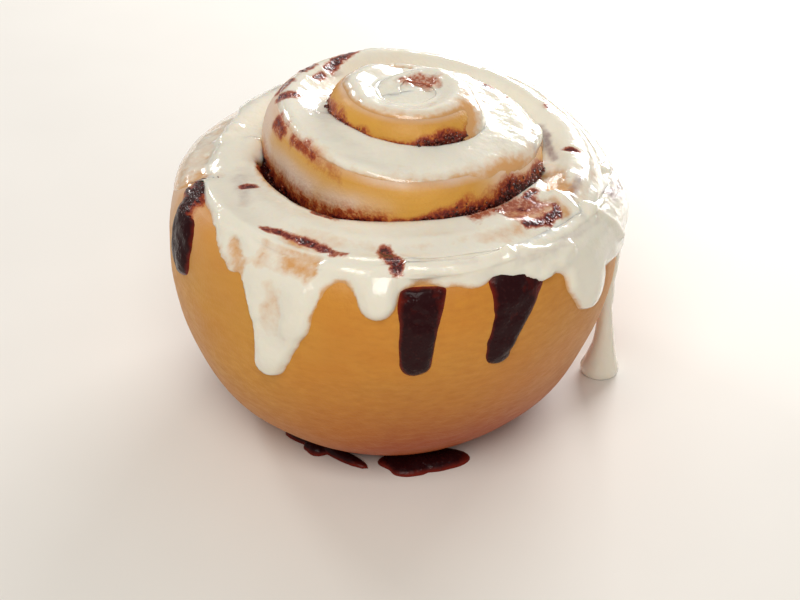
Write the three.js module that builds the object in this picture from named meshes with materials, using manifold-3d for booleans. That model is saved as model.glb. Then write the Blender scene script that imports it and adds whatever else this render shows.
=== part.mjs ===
// Cinnamon roll: a tall domed spiral bun with poured icing and syrup runs.
// Units are millimetres, +Z is up, the bun stands on z = 0 and the front faces -Y.
// The baked dough is one body. The icing and each run or pool of syrup is a body of its own.

import * as THREE from 'three';
import Module from 'manifold-3d';

const wasm = await Module();
wasm.setup();

// ---------------------------------------------------------------- driving dimensions

const COLUMNS = 60;              // columns of the spiral grid in one full turn
const GAP = 0.44;                // clearance between the dough and whatever lies on it
const UPWARD = 0.85;               // how much of a coat's growth on top is straight up
const SLIVER = 0.03;             // size of the slivers removed after a cut
const TAIL_AZIMUTH = 190;        // azimuth in degrees where the outer end of the strip stops
const SPIRAL_CENTRE = [3.0, 0.0];
const LAST_ANGLE = 1080;         // winding angle where the strip ends in the middle
const STREAM_AZIMUTH = 0.5;      // azimuth of the icing stream that reaches the ground
const SIDE_COAT = 1.2;           // depth of icing on the right side
const COAT = 1.9;                // depth of icing elsewhere on the wall

// Section of the outside wall: share of the way up, radius, height.
const WALL = [
  [0.00, 32.3, 0.0],
  [0.05, 35.4, 1.9],
  [0.15, 40.8, 6.0],
  [0.28, 46.2, 12.0],
  [0.42, 50.0, 20.0],
  [0.56, 52.6, 30.0],
  [0.70, 53.4, 40.0],
  [0.81, 53.1, 48.0],
  [0.90, 52.0, 54.5],
  [0.96, 50.4, 58.4],
  [1.00, 48.2, 60.8],
];
const WALL_ROWS = 14;

// Crease between two neighbouring turns: winding angle, radius, height.
const CREASE = [
  [0, 48.0, 60.4],
  [40, 47.2, 61.8],
  [80, 45.0, 62.6],
  [130, 43.2, 60.6],
  [162, 42.9, 54.6],
  [180, 42.8, 53.4],
  [200, 42.0, 55.2],
  [228, 40.2, 59.8],
  [260, 39.0, 60.0],
  [350, 35.5, 62.0],
  [390, 32.6, 63.0],
  [440, 33.0, 64.5],
  [490, 30.0, 62.5],
  [530, 30.0, 61.0],
  [620, 25.0, 66.0],
  [710, 19.2, 72.0],
  [755, 17.0, 74.0],
  [800, 17.4, 73.6],
  [890, 15.6, 71.5],
  [980, 12.0, 74.5],
  [1080, 8.5, 76.5],
  [1260, 5.5, 77.5],
  [1440, 3.0, 78.0],
];

// Rim of the turn that stands just inside each crease: winding angle, radius, height.
const RIM = [
  [0, 41.5, 62.6],
  [80, 39.5, 64.4],
  [170, 37.0, 64.2],
  [260, 34.0, 71.2],
  [282, 33.1, 73.2],
  [315, 31.4, 74.2],
  [350, 29.0, 75.6],
  [390, 27.4, 74.8],
  [440, 28.2, 73.2],
  [471, 25.2, 72.2],
  [500, 23.8, 71.4],
  [530, 23.0, 70.6],
  [575, 22.0, 71.8],
  [620, 20.6, 74.4],
  [665, 16.6, 78.2],
  [710, 13.2, 80.2],
  [800, 12.6, 80.4],
  [860, 10.8, 80.0],
  [890, 10.2, 79.8],
  [980, 8.8, 79.0],
  [1080, 6.2, 78.6],
];

// ---------------------------------------------------------------- curves

// Smooth monotone curve through rows of a table; `column` picks the value.
function curve(table, x, column) {
  const last = table.length - 1;
  const at = Math.min(Math.max(x, table[0][0]), table[last][0]);
  let i = 0;
  while (i < last - 1 && at > table[i + 1][0]) {
    i += 1;
  }
  const slope = (n) => (table[n + 1][column] - table[n][column]) / (table[n + 1][0] - table[n][0]);
  const tangent = (n) => {
    if (n === 0) {
      return slope(0);
    }
    if (n === last) {
      return slope(last - 1);
    }
    const before = slope(n - 1);
    const after = slope(n);
    return before * after > 0 ? (2 * before * after) / (before + after) : 0;
  };
  const width = table[i + 1][0] - table[i][0];
  const t = (at - table[i][0]) / width;
  const t2 = t * t;
  const t3 = t2 * t;
  return (2 * t3 - 3 * t2 + 1) * table[i][column]
    + (t3 - 2 * t2 + t) * width * tangent(i)
    + (3 * t2 - 2 * t3) * table[i + 1][column]
    + (t3 - t2) * width * tangent(i + 1);
}

const radians = (degrees) => (degrees * Math.PI) / 180;
const mix = (a, b, t) => a + (b - a) * t;

// Bell-shaped weight of azimuth `azimuth` about `centre`, both in degrees.
function bell(azimuth, centre, spread) {
  const off = ((((azimuth - centre) % 360) + 540) % 360) - 180;
  return Math.exp(-((off / spread) ** 2));
}

const rampUp = (low, high, x) => {
  const t = Math.min(Math.max((x - low) / (high - low), 0), 1);
  return t * t * (3 - 2 * t);
};

// Section of the wall at an azimuth: its radius and height at a share of the way up. It
// swells towards the tail, is tucked in at the foot in front and along the right side,
// sags at the back left, and on the right the outer layer has slumped.
function wallSection(azimuth, share) {
  const swell = 0.02 * bell(azimuth, 190, 50);
  const foot = 0.075 * bell(azimuth, 315, 50) * (1 - rampUp(0.3, 0.85, share));
  const level = rampUp(0.15, 0.5, share) * (1 - rampUp(0.82, 0.95, share));
  const side = 0.035 * bell(azimuth, 5, 38) * level;
  const slump = bell(azimuth, 8, 24);
  const lobe = 0.04 * slump * rampUp(0.85, 1, share);
  const sag = 2.4 * bell(azimuth, 140, 45) * share ** 6 + 9 * slump * share ** 5;
  return [curve(WALL, share, 1) * (1 + swell - foot - side + lobe), curve(WALL, share, 2) - sag];
}

// Point on the outside wall: azimuth, share of the way up, distance out of the dough.
function wallPoint(azimuth, share, out = 0) {
  const step = 0.01;
  const low = wallSection(azimuth, Math.max(share - step, 0));
  const high = wallSection(azimuth, Math.min(share + step, 1));
  const [run, rise] = [high[0] - low[0], high[1] - low[1]];
  const length = Math.hypot(rise, run);
  const [dry, level] = wallSection(azimuth, share);
  const radius = dry + (out * rise) / length;
  const a = radians(azimuth);
  return new THREE.Vector3(
    radius * Math.cos(a),
    radius * Math.sin(a),
    level - (out * run) / length,
  );
}

// Point of a curve given as radius and height about the spiral centre.
function spiralPoint(table, angle) {
  const a = radians(TAIL_AZIMUTH + angle);
  const radius = curve(table, angle, 1);
  return new THREE.Vector3(
    SPIRAL_CENTRE[0] + radius * Math.cos(a),
    SPIRAL_CENTRE[1] + radius * Math.sin(a),
    curve(table, angle, 2),
  );
}

// ---------------------------------------------------------------- the dough grid

// Crosswise section of a turn: shares of the way outer crease -> rim -> inner crease.
const SECTION = [
  { part: 'out', along: 0.00, up: 0.00 },
  { part: 'out', along: 0.10, up: 0.42 },
  { part: 'out', along: 0.42, up: 0.84 },
  { part: 'in', along: 0.00, up: 0.00 },
  { part: 'in', along: 0.34, up: 0.28 },
  { part: 'in', along: 0.74, up: 0.72 },
];

function sectionPoint(outer, rim, inner, row) {
  const { part, along, up } = SECTION[row];
  const from = part === 'out' ? outer : rim;
  const to = part === 'out' ? rim : inner;
  return new THREE.Vector3(
    mix(from.x, to.x, along),
    mix(from.y, to.y, along),
    mix(from.z, to.z, up),
  );
}

// The whole dough skin as one indexed grid. `coat(kind, angle, row)` tells how far each
// vertex is moved along its normal, so the same grid also gives the icing's outside.
function doughSkin() {
  const points = [];
  const kinds = [];
  const faces = [];
  const add = (point, kind, angle, row) => {
    points.push(point);
    kinds.push({ kind, angle, row });
    return points.length - 1;
  };
  const step = 360 / COLUMNS;

  // Outside wall, as a closed ring of columns that starts at the tail.
  const wall = [];
  for (let row = 0; row <= WALL_ROWS; row += 1) {
    const ring = [];
    for (let j = 0; j < COLUMNS; j += 1) {
      const azimuth = TAIL_AZIMUTH + j * step;
      ring.push(add(wallPoint(azimuth, row / WALL_ROWS), 'wall', azimuth, row));
    }
    wall.push(ring);
  }
  const shoulder = wall[WALL_ROWS];
  for (let row = 0; row < WALL_ROWS; row += 1) {
    for (let j = 0; j < COLUMNS; j += 1) {
      const next = (j + 1) % COLUMNS;
      const [a, b] = [wall[row][j], wall[row][next]];
      const [c, d] = [wall[row + 1][next], wall[row + 1][j]];
      faces.push([a, b, c], [a, c, d]);
    }
  }
  const middle = add(new THREE.Vector3(0, 0, 0), 'base', 0, 0);
  for (let j = 0; j < COLUMNS; j += 1) {
    faces.push([middle, wall[0][(j + 1) % COLUMNS], wall[0][j]]);
  }

  // Spiral strip. Column n stands at winding angle (n - COLUMNS) * step, so the first
  // COLUMNS columns are the outermost ring, which narrows to a point at the tail.
  const rows = SECTION.length;
  const lastColumn = COLUMNS + Math.round(LAST_ANGLE / step);
  const grid = [];
  for (let n = 0; n <= lastColumn; n += 1) {
    const angle = (n - COLUMNS) * step;
    const inner = spiralPoint(CREASE, angle + 360);
    const column = [];
    if (n === 0) {
      for (let row = 0; row < rows; row += 1) {
        column.push(shoulder[0]);
      }
    } else if (n < COLUMNS) {
      const outer = points[shoulder[n]];
      const width = Math.hypot(outer.x - inner.x, outer.y - inner.y);
      const rim = outer.clone().lerp(inner, 0.45);
      rim.z += Math.min(2.6, 0.3 * width);
      column.push(shoulder[n]);
      for (let row = 1; row < rows; row += 1) {
        column.push(add(sectionPoint(outer, rim, inner, row), 'ring', angle, row));
      }
    } else {
      const outer = n === COLUMNS ? points[shoulder[0]] : spiralPoint(CREASE, angle);
      const rim = spiralPoint(RIM, angle);
      column.push(n === COLUMNS ? shoulder[0] : add(outer, 'turn', angle, 0));
      for (let row = 1; row < rows; row += 1) {
        column.push(add(sectionPoint(outer, rim, inner, row), 'turn', angle, row));
      }
    }
    grid.push(column);
  }
  // Inner edge of each column is the first row of the column one full turn further in.
  const core = [];
  for (let n = 0; n <= lastColumn; n += 1) {
    const inward = grid[n + COLUMNS];
    if (inward) {
      grid[n].push(inward[0]);
    } else {
      const angle = n * step;
      const index = add(spiralPoint(CREASE, angle), 'turn', angle, 0);
      grid[n].push(index);
      core.push(index);
    }
  }
  for (let n = 0; n < lastColumn; n += 1) {
    for (let row = 0; row < rows; row += 1) {
      const [a, b] = [grid[n][row], grid[n + 1][row]];
      const [c, d] = [grid[n + 1][row + 1], grid[n][row + 1]];
      if (a !== b) {
        faces.push([a, b, c]);
      }
      if (c !== d && a !== d) {
        faces.push([a, c, d]);
      }
    }
  }
  // Middle of the spiral: a fan over the last inner edge and the end of the strip.
  const end = grid[lastColumn];
  const loop = [end[0], ...core];
  for (let row = rows - 1; row > 0; row -= 1) {
    loop.push(end[row]);
  }
  const eye = add(
    new THREE.Vector3(SPIRAL_CENTRE[0], SPIRAL_CENTRE[1], 78.4),
    'turn',
    LAST_ANGLE + 360,
    4,
  );
  for (let n = 0; n < loop.length; n += 1) {
    faces.push([loop[n], loop[(n + 1) % loop.length], eye]);
  }
  return { points, kinds, faces };
}

function vertexNormals(points, faces) {
  const normals = points.map(() => new THREE.Vector3());
  for (const [a, b, c] of faces) {
    const ab = points[b].clone().sub(points[a]);
    const ac = points[c].clone().sub(points[a]);
    const normal = ab.cross(ac);
    normals[a].add(normal);
    normals[b].add(normal);
    normals[c].add(normal);
  }
  return normals.map((normal) => normal.normalize());
}

function solidFrom(points, faces) {
  const vertProperties = new Float32Array(points.length * 3);
  points.forEach((point, n) => vertProperties.set([point.x, point.y, point.z], 3 * n));
  const mesh = new wasm.Mesh({
    numProp: 3,
    vertProperties,
    triVerts: new Uint32Array(faces.flat()),
  });
  return new wasm.Manifold(mesh);
}

// The dough grid with each vertex moved out by `coat(label)`. On top it moves partly
// upwards, so that the two sides of a narrow crease don't cross.
function coated(skin, normals, coat) {
  const moved = skin.points.map((point, n) => {
    const label = skin.kinds[n];
    if (label.kind === 'base') {
      return point.clone();
    }
    const way = normals[n].clone();
    way.z += label.kind === 'wall' ? 0 : UPWARD;
    return point.clone().addScaledVector(way.normalize(), coat(label));
  });
  return solidFrom(moved, skin.faces);
}

// ---------------------------------------------------------------- pieces that run down the wall

// A closed tongue on the wall. `path` rows are [share of the way up, azimuth of the
// middle, half width in degrees, thickness]; `lift` is its clearance from the dough.
function tongue(path, lift, across = 6) {
  const points = [];
  const faces = [];
  const side = across + 1;
  for (const [share, azimuth, half, thick] of path) {
    for (let n = 0; n < side; n += 1) {
      const t = (2 * n) / across - 1;
      points.push(wallPoint(azimuth + half * t, share, lift));
    }
    for (let n = 0; n < side; n += 1) {
      const t = (2 * n) / across - 1;
      const bulge = thick * (0.28 + 0.72 * Math.sqrt(Math.max(0, 1 - t * t)));
      points.push(wallPoint(azimuth + half * t, share, lift + bulge));
    }
  }
  const count = 2 * side;
  for (let row = 0; row + 1 < path.length; row += 1) {
    const here = row * count;
    const next = here + count;
    for (let n = 0; n < across; n += 1) {
      faces.push([here + n, next + n + 1, next + n]);
      faces.push([here + n, here + n + 1, next + n + 1]);
      const top = side + n;
      faces.push([here + top, next + top, next + top + 1]);
      faces.push([here + top, next + top + 1, here + top + 1]);
    }
    faces.push([here, next, next + side], [here, next + side, here + side]);
    const edge = across;
    faces.push([here + edge, next + edge + side, next + edge]);
    faces.push([here + edge, here + edge + side, next + edge + side]);
  }
  const lastRow = (path.length - 1) * count;
  for (let n = 0; n < across; n += 1) {
    faces.push([n, side + n, side + n + 1], [n, side + n + 1, n + 1]);
    const far = lastRow + n;
    faces.push([far, far + 1, far + side + 1], [far, far + side + 1, far + side]);
  }
  return solidFrom(points, faces);
}

// A closed loft through stacked rings; `rings` rows are [centre, half size along x,
// half size along y, turn in degrees]. Rings run from the bottom up.
function loft(rings, sides = 14) {
  const points = [];
  const faces = [];
  for (const [centre, halfX, halfY, turn] of rings) {
    for (let n = 0; n < sides; n += 1) {
      const a = (2 * Math.PI * n) / sides;
      const x = halfX * Math.cos(a);
      const y = halfY * Math.sin(a);
      const c = Math.cos(radians(turn));
      const s = Math.sin(radians(turn));
      points.push(new THREE.Vector3(centre[0] + x * c - y * s, centre[1] + x * s + y * c, centre[2]));
    }
  }
  for (let row = 0; row + 1 < rings.length; row += 1) {
    for (let n = 0; n < sides; n += 1) {
      const next = (n + 1) % sides;
      const a = row * sides + n;
      const b = row * sides + next;
      faces.push([a, b, b + sides], [a, b + sides, a + sides]);
    }
  }
  const bottom = points.length;
  points.push(new THREE.Vector3(...rings[0][0]));
  const top = points.length;
  points.push(new THREE.Vector3(...rings[rings.length - 1][0]));
  const roof = (rings.length - 1) * sides;
  for (let n = 0; n < sides; n += 1) {
    const next = (n + 1) % sides;
    faces.push([bottom, next, n], [top, roof + n, roof + next]);
  }
  return solidFrom(points, faces);
}

// A puddle on the ground: a closed band round the foot of the bun. Rows are [azimuth,
// inner radius, outer radius, height].
function puddle(rows) {
  const points = [];
  const faces = [];
  const section = [[0, 0], [0.5, 0], [1, 0], [0.93, 0.45], [0.7, 0.88], [0.35, 1], [0.08, 0.7]];
  for (const [azimuth, inner, outer, height] of rows) {
    const a = radians(azimuth);
    for (const [along, up] of section) {
      const radius = mix(inner, outer, along);
      points.push(new THREE.Vector3(radius * Math.cos(a), radius * Math.sin(a), height * up));
    }
  }
  const count = section.length;
  for (let row = 0; row + 1 < rows.length; row += 1) {
    for (let n = 0; n < count; n += 1) {
      const next = (n + 1) % count;
      const a = row * count + n;
      const b = row * count + next;
      faces.push([a, b + count, b], [a, a + count, b + count]);
    }
  }
  const far = (rows.length - 1) * count;
  for (let n = 1; n + 1 < count; n += 1) {
    faces.push([0, n, n + 1], [far, far + n + 1, far + n]);
  }
  return solidFrom(points, faces);
}

// ---------------------------------------------------------------- the icing

// Lower edge of the icing: azimuth in degrees, height where the icing stops.
const ICING_EDGE = [
  [0, 45.0],
  [20, 49.0],
  [45, 54.0],
  [70, 47.0],
  [95, 54.5],
  [125, 50.0],
  [160, 55.0],
  [190, 56.5],
  [205, 58.6],
  [215, 58.0],
  [228, 56.0],
  [240, 54.5],
  [254, 58.2],
  [263, 56.6],
  [271, 58.6],
  [300, 57.4],
  [313, 53.0],
  [320, 49.5],
  [330, 47.0],
  [360, 45.0],
];

// How thick the icing lies on each vertex of the dough grid. Negative is bare dough.
function icingDepth({ kind, angle, row }) {
  if (kind === 'wall') {
    const azimuth = ((angle % 360) + 360) % 360;
    const height = wallPoint(azimuth, row / WALL_ROWS).z;
    const edge = curve(ICING_EDGE, azimuth, 1);
    const most = mix(COAT, SIDE_COAT, bell(azimuth, 5, 38));
    return Math.min(Math.max((height - edge) * 0.55 + 0.5, -1.5), most);
  }
  const facing = ((((TAIL_AZIMUTH + angle) % 360) + 360) % 360);
  const covered = facing < 110 || facing > 325;
  if (kind === 'ring') {
    return row < 4 ? 1.6 : 1.3;
  }
  if (row === 0) {
    return angle < 360 ? 1.2 : 2.3;
  }
  if (row === 1 || row === 2) {
    return covered || angle < 200 ? 1.0 : -1.0;
  }
  return [0, 0, 0, 1.2, 1.9, 2.5][row];
}

// The largest separate body of a solid, without the slivers that a cut leaves.
function largest(solid) {
  const body = solid.decompose().reduce((a, b) => (a.volume() > b.volume() ? a : b));
  return body.simplify(SLIVER);
}

// The stream that runs down the right side, leaves the receding wall and stands on the
// ground in a spread foot.
function icingStream() {
  const a = radians(STREAM_AZIMUTH);
  const ring = (radius, height, out, along) => [
    [radius * Math.cos(a), radius * Math.sin(a), height],
    out,
    along,
    STREAM_AZIMUTH,
  ];
  return loft([
    ring(50.2, 0.0, 4.5, 4.4),
    ring(50.2, 1.2, 4.8, 4.6),
    ring(50.3, 3.2, 4.2, 4.0),
    ring(50.5, 6.5, 3.3, 3.2),
    ring(50.7, 10.0, 2.7, 2.6),
    ring(50.6, 15.0, 2.0, 2.1),
    ring(50.5, 19.0, 1.75, 1.9),
    ring(50.4, 25.0, 1.7, 2.2),
    ring(51.2, 31.0, 1.4, 3.0),
    ring(51.8, 38.0, 1.2, 4.2),
    ring(52.0, 44.0, 1.1, 5.2),
    ring(51.6, 48.5, 1.0, 5.6),
  ]);
}

// ---------------------------------------------------------------- assembly

const DOUGH = { color: 0xc98b3f, roughness: 0.55, metalness: 0 };
const ICING = { color: 0xefe6d2, roughness: 0.18, metalness: 0 };
const SYRUP = { color: 0x2e0b0a, roughness: 0.12, metalness: 0 };

function meshFrom(name, solid, finish) {
  const data = solid.getMesh();
  const geometry = new THREE.BufferGeometry();
  geometry.setAttribute('position', new THREE.BufferAttribute(new Float32Array(data.vertProperties), 3));
  geometry.setIndex(new THREE.BufferAttribute(new Uint32Array(data.triVerts), 1));
  geometry.computeVertexNormals();
  const mesh = new THREE.Mesh(geometry, new THREE.MeshStandardMaterial(finish));
  mesh.name = name;
  return mesh;
}

const skin = doughSkin();
const normals = vertexNormals(skin.points, skin.faces);
const dough = solidFrom(skin.points, skin.faces);
const cleared = coated(skin, normals, ({ kind, row }) => (kind === 'wall' && row === 0 ? 0 : GAP));
const poured = coated(skin, normals, icingDepth);

const drips = [
  // Long drip at the front left.
  tongue([
    [0.985, 241, 12.5, 1.6],
    [0.93, 241, 11.5, 1.7],
    [0.86, 240.5, 9.2, 1.8],
    [0.78, 240, 7.4, 1.9],
    [0.70, 239, 5.8, 2.2],
    [0.645, 238.4, 4.4, 2.3],
    [0.618, 238.2, 1.8, 1.2],
  ], GAP),
  // Short drip beside it.
  tongue([
    [0.985, 263.0, 7.4, 1.6],
    [0.93, 263.0, 6.8, 1.8],
    [0.895, 263.4, 5.4, 1.8],
    [0.872, 263.6, 2.2, 1.0],
  ], GAP),
  // Rounded drip at the front right.
  tongue([
    [0.95, 319, 9.0, 1.6],
    [0.86, 319.5, 7.4, 1.8],
    [0.80, 319.5, 5.2, 1.8],
    [0.772, 319.5, 2.0, 1.0],
  ], GAP),
  // Two drips on the far side.
  tongue([
    [0.90, 70, 8.0, 1.6],
    [0.78, 70.5, 5.6, 1.8],
    [0.64, 71, 4.2, 2.1],
    [0.57, 71, 1.8, 1.1],
  ], GAP),
  tongue([
    [0.93, 126, 8.0, 1.6],
    [0.80, 125.5, 5.0, 1.8],
    [0.73, 125, 1.8, 1.1],
  ], GAP),
];
const coat = drips.reduce((sum, drip) => sum.add(drip), poured.add(icingStream()));
const icing = largest(coat.subtract(cleared));

const runs = {
  syrup_run_left: tongue([
    [0.885, 203.5, 1.6, 0.8],
    [0.86, 203.5, 2.6, 1.3],
    [0.80, 201.5, 2.7, 1.4],
    [0.74, 199.5, 2.4, 1.4],
    [0.70, 198.3, 1.0, 0.9],
  ], GAP, 4),
  syrup_run_centre: tongue([
    [0.93, 275.5, 6.2, 1.1],
    [0.885, 275.0, 5.2, 1.4],
    [0.82, 274.2, 4.4, 1.5],
    [0.75, 273.2, 3.6, 1.6],
    [0.71, 273.0, 2.6, 1.5],
    [0.69, 273.0, 1.0, 0.9],
  ], GAP),
  syrup_run_right: tongue([
    [0.905, 298.0, 7.2, 1.1],
    [0.86, 296.6, 5.4, 1.4],
    [0.80, 295.0, 4.6, 1.5],
    [0.74, 293.8, 3.6, 1.5],
    [0.705, 292.8, 2.2, 1.3],
    [0.692, 292.6, 1.0, 0.8],
  ], GAP),
  syrup_run_back: tongue([
    [0.87, 99.0, 4.2, 1.1],
    [0.80, 99.5, 3.8, 1.4],
    [0.70, 100.0, 3.2, 1.5],
    [0.63, 100.2, 1.2, 0.9],
  ], GAP, 4),
};
// The runs come out from under the icing, so each stops a hair below its edge.
const grown = drips.reduce(
  (sum, drip) => sum.add(drip),
  coated(skin, normals, (label) => icingDepth(label) + GAP),
);
const pools = {
  syrup_pool_front: puddle([
    [261, 34.9, 35.4, 0.5],
    [264, 34.7, 37.6, 1.4],
    [268, 34.5, 39.2, 1.9],
    [273, 34.2, 39.8, 2.0],
    [279, 33.9, 38.8, 1.8],
    [285, 33.5, 37.0, 1.5],
    [291, 33.2, 35.2, 1.1],
    [296, 33.1, 33.8, 0.5],
  ]),
  syrup_pool_left: puddle([
    [218, 35.6, 36.0, 0.4],
    [221, 35.5, 38.0, 1.0],
    [224, 35.4, 36.6, 0.8],
    [229, 35.3, 36.3, 0.8],
    [232.5, 35.2, 37.6, 1.3],
    [236.5, 35.1, 38.8, 1.9],
    [240, 35.0, 38.2, 1.6],
    [244, 34.95, 36.4, 1.0],
    [252, 34.9, 35.9, 0.8],
    [258, 34.9, 35.4, 0.4],
  ]),
};

const roll = new THREE.Group();
roll.name = 'cinnamon_roll';
roll.add(meshFrom('dough_roll', dough, DOUGH));
roll.add(meshFrom('icing_coat', icing, ICING));
for (const [name, solid] of Object.entries(runs)) {
  roll.add(meshFrom(name, largest(solid.subtract(grown)), SYRUP));
}
for (const [name, solid] of Object.entries(pools)) {
  roll.add(meshFrom(name, solid, SYRUP));
}

export default roll;
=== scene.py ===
"""A tall cinnamon roll with poured icing and syrup runs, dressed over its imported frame.

Lengths inside the classes are millimetres and become metres when a mesh is made. Angles
are degrees: an azimuth runs anticlockwise from +X seen from above, and the front of the
roll faces azimuth 270. The roll is a strip of dough wound inwards. A point of the strip
is named by its winding angle, which starts at the outer end of the strip (the tail) and
grows inwards, and by its share of the way across one turn, from the outer crease (0) over
the rim to the inner crease (1).
"""

import logging
import math
import sys
from dataclasses import dataclass, field
from enum import Enum
from typing import Sequence

import bpy
import numpy as np
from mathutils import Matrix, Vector

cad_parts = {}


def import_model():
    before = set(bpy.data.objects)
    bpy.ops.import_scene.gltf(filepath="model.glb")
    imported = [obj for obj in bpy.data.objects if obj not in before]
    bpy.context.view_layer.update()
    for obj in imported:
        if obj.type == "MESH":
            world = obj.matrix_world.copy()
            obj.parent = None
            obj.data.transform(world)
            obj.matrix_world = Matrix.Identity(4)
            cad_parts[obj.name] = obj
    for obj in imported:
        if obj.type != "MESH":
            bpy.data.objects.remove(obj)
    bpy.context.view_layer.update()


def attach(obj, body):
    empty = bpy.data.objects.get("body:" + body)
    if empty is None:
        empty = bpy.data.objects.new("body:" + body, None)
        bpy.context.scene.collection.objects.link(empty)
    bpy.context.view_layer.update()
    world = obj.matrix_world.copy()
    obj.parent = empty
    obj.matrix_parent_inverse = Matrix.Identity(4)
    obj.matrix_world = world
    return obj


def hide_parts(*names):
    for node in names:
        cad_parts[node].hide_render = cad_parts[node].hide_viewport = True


LOG = logging.getLogger("cinnamon_roll")
MM = 0.001
Array = np.ndarray
Socket = bpy.types.NodeSocket
Groups = dict[str, bpy.types.NodeTree]
WALL_LABEL = -400.0  # the winding angle written on the wall's vertices
MM_PER_DEGREE = math.radians(53.4)  # length of a degree round the wall at its widest


# ------------------------------------------------------------------ numbers and fields


@dataclass(frozen=True)
class Curve:
    """A smooth curve through knots that never overshoots them.

    Attributes:
        knots: rows of (position, value), in rising order of position.
        period: length after which the curve repeats, or 0 for a curve that ends.
    """

    knots: tuple[tuple[float, float], ...]
    period: float = 0.0

    def at(self, x: Array | float) -> Array:
        """Value at each position: a cubic between knots whose slope at a knot is the
        harmonic mean of the slopes on its two sides, or 0 at a peak.

        Args:
            x: positions.

        Returns:
            The values, in the shape of x.
        """
        knots = np.array(self.knots, dtype=float)
        if self.period:
            knots = np.vstack([knots - [self.period, 0], knots, knots + [self.period, 0]])
            x = np.mod(x, self.period)
        xs, ys = knots[:, 0], knots[:, 1]
        step = np.diff(xs)
        slope = np.diff(ys) / step
        product = slope[:-1] * slope[1:]
        total = np.where(product > 0, slope[:-1] + slope[1:], 1.0)
        inner = np.where(product > 0, 2 * product / total, 0.0)
        tangent = np.concatenate([slope[:1], inner, slope[-1:]])
        x = np.clip(np.asarray(x, dtype=float), xs[0], xs[-1])
        i = np.clip(np.searchsorted(xs, x, side="right") - 1, 0, len(xs) - 2)
        t = (x - xs[i]) / step[i]
        h01 = t * t * (3 - 2 * t)
        return (
            (1 - h01) * ys[i]
            + h01 * ys[i + 1]
            + t * (1 - t) ** 2 * step[i] * tangent[i]
            - t * t * (1 - t) * step[i] * tangent[i + 1]
        )


def smoothstep(low: float, high: float, x: Array) -> Array:
    """0 below low, 1 above high and a smooth rise between them."""
    t = np.clip((x - low) / (high - low), 0.0, 1.0)
    return t * t * (3 - 2 * t)


def turn_between(azimuth: Array, centre: float) -> Array:
    """Signed angle in degrees from centre to azimuth, within -180 to 180."""
    return np.mod(azimuth - centre + 180.0, 360.0) - 180.0


def plateau(rise: tuple[float, float], fall: tuple[float, float], x: Array) -> Array:
    """0, then a smooth rise to 1 over one stretch of x and a fall to 0 over another."""
    return smoothstep(*rise, x) * (1 - smoothstep(*fall, x))


def bell(x: Array, spread: float) -> Array:
    """Bell curve of height 1: exp(-(x / spread) squared)."""
    return np.exp(-((x / spread) ** 2))


def lattice_noise(points: Array, seed: int) -> Array:
    """Smooth noise: hashed values on the corners of unit cubes, blended inside each cube.

    Args:
        points: positions, shape (..., 3), in cubes.
        seed: picks another pattern.

    Returns:
        Values from -1 to 1, shape (...).
    """
    base = np.floor(points).astype(np.int64)
    part = points - base
    blend = part**3 * (part * (part * 6 - 15) + 10)
    value = np.zeros(points.shape[:-1])
    for corner in range(8):
        bits = np.array([corner & 1, (corner >> 1) & 1, (corner >> 2) & 1])
        cell = (base + bits) @ np.array([374761393, 668265263, 1274126177]) + seed * 982451653
        cell = cell & 0xFFFFFFFF
        cell = ((cell ^ (cell >> 13)) * 1103515245) & 0xFFFFFFFF
        cell = ((cell ^ (cell >> 16)) * 2246822519) & 0xFFFFFFFF
        cell = cell ^ (cell >> 15)
        weight = np.prod(np.where(bits, blend, 1 - blend), axis=-1)
        value += weight * ((cell & 0xFFFF) / 32767.5 - 1.0)
    return value


def fractal(points: Array, size: float, octaves: int, seed: int) -> Array:
    """Sum of noises, each half the size and half the strength of the one before.

    Args:
        points: positions in millimetres, shape (..., 3).
        size: size of the largest lumps in millimetres.
        octaves: how many noises are added.
        seed: picks another pattern.

    Returns:
        Values of about -1 to 1, shape (...).
    """
    total = np.zeros(points.shape[:-1])
    for n in range(octaves):
        total += lattice_noise(points * (2**n / size), seed + 17 * n) / 2**n
    return total


def soft_least(a: Array, b: Array, width: float) -> Array:
    """Least of two distances, with the corner between them rounded over width."""
    h = np.clip(0.5 + 0.5 * (b - a) / width, 0.0, 1.0)
    return b + (a - b) * h - width * h * (1 - h)


def stroke_distance(x: Array, y: Array, stroke: Sequence[tuple[float, float, float]]) -> Array:
    """Distance outside a brush stroke: the least over its segments of the distance to the
    nearest point of the segment less the brush radius there.

    Args:
        x: first coordinate of each point.
        y: second coordinate of each point.
        stroke: rows of (x, y, brush radius) along the stroke.

    Returns:
        Distances, negative inside the stroke.
    """
    best = np.full(np.shape(x), np.inf)
    for (x0, y0, r0), (x1, y1, r1) in zip(stroke[:-1], stroke[1:]):
        dx, dy = x1 - x0, y1 - y0
        t = np.clip(((x - x0) * dx + (y - y0) * dy) / (dx * dx + dy * dy), 0.0, 1.0)
        gap = np.hypot(x - x0 - t * dx, y - y0 - t * dy) - (r0 + t * (r1 - r0))
        best = np.minimum(best, gap)
    return best


# ------------------------------------------------------------------ meshes


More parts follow.
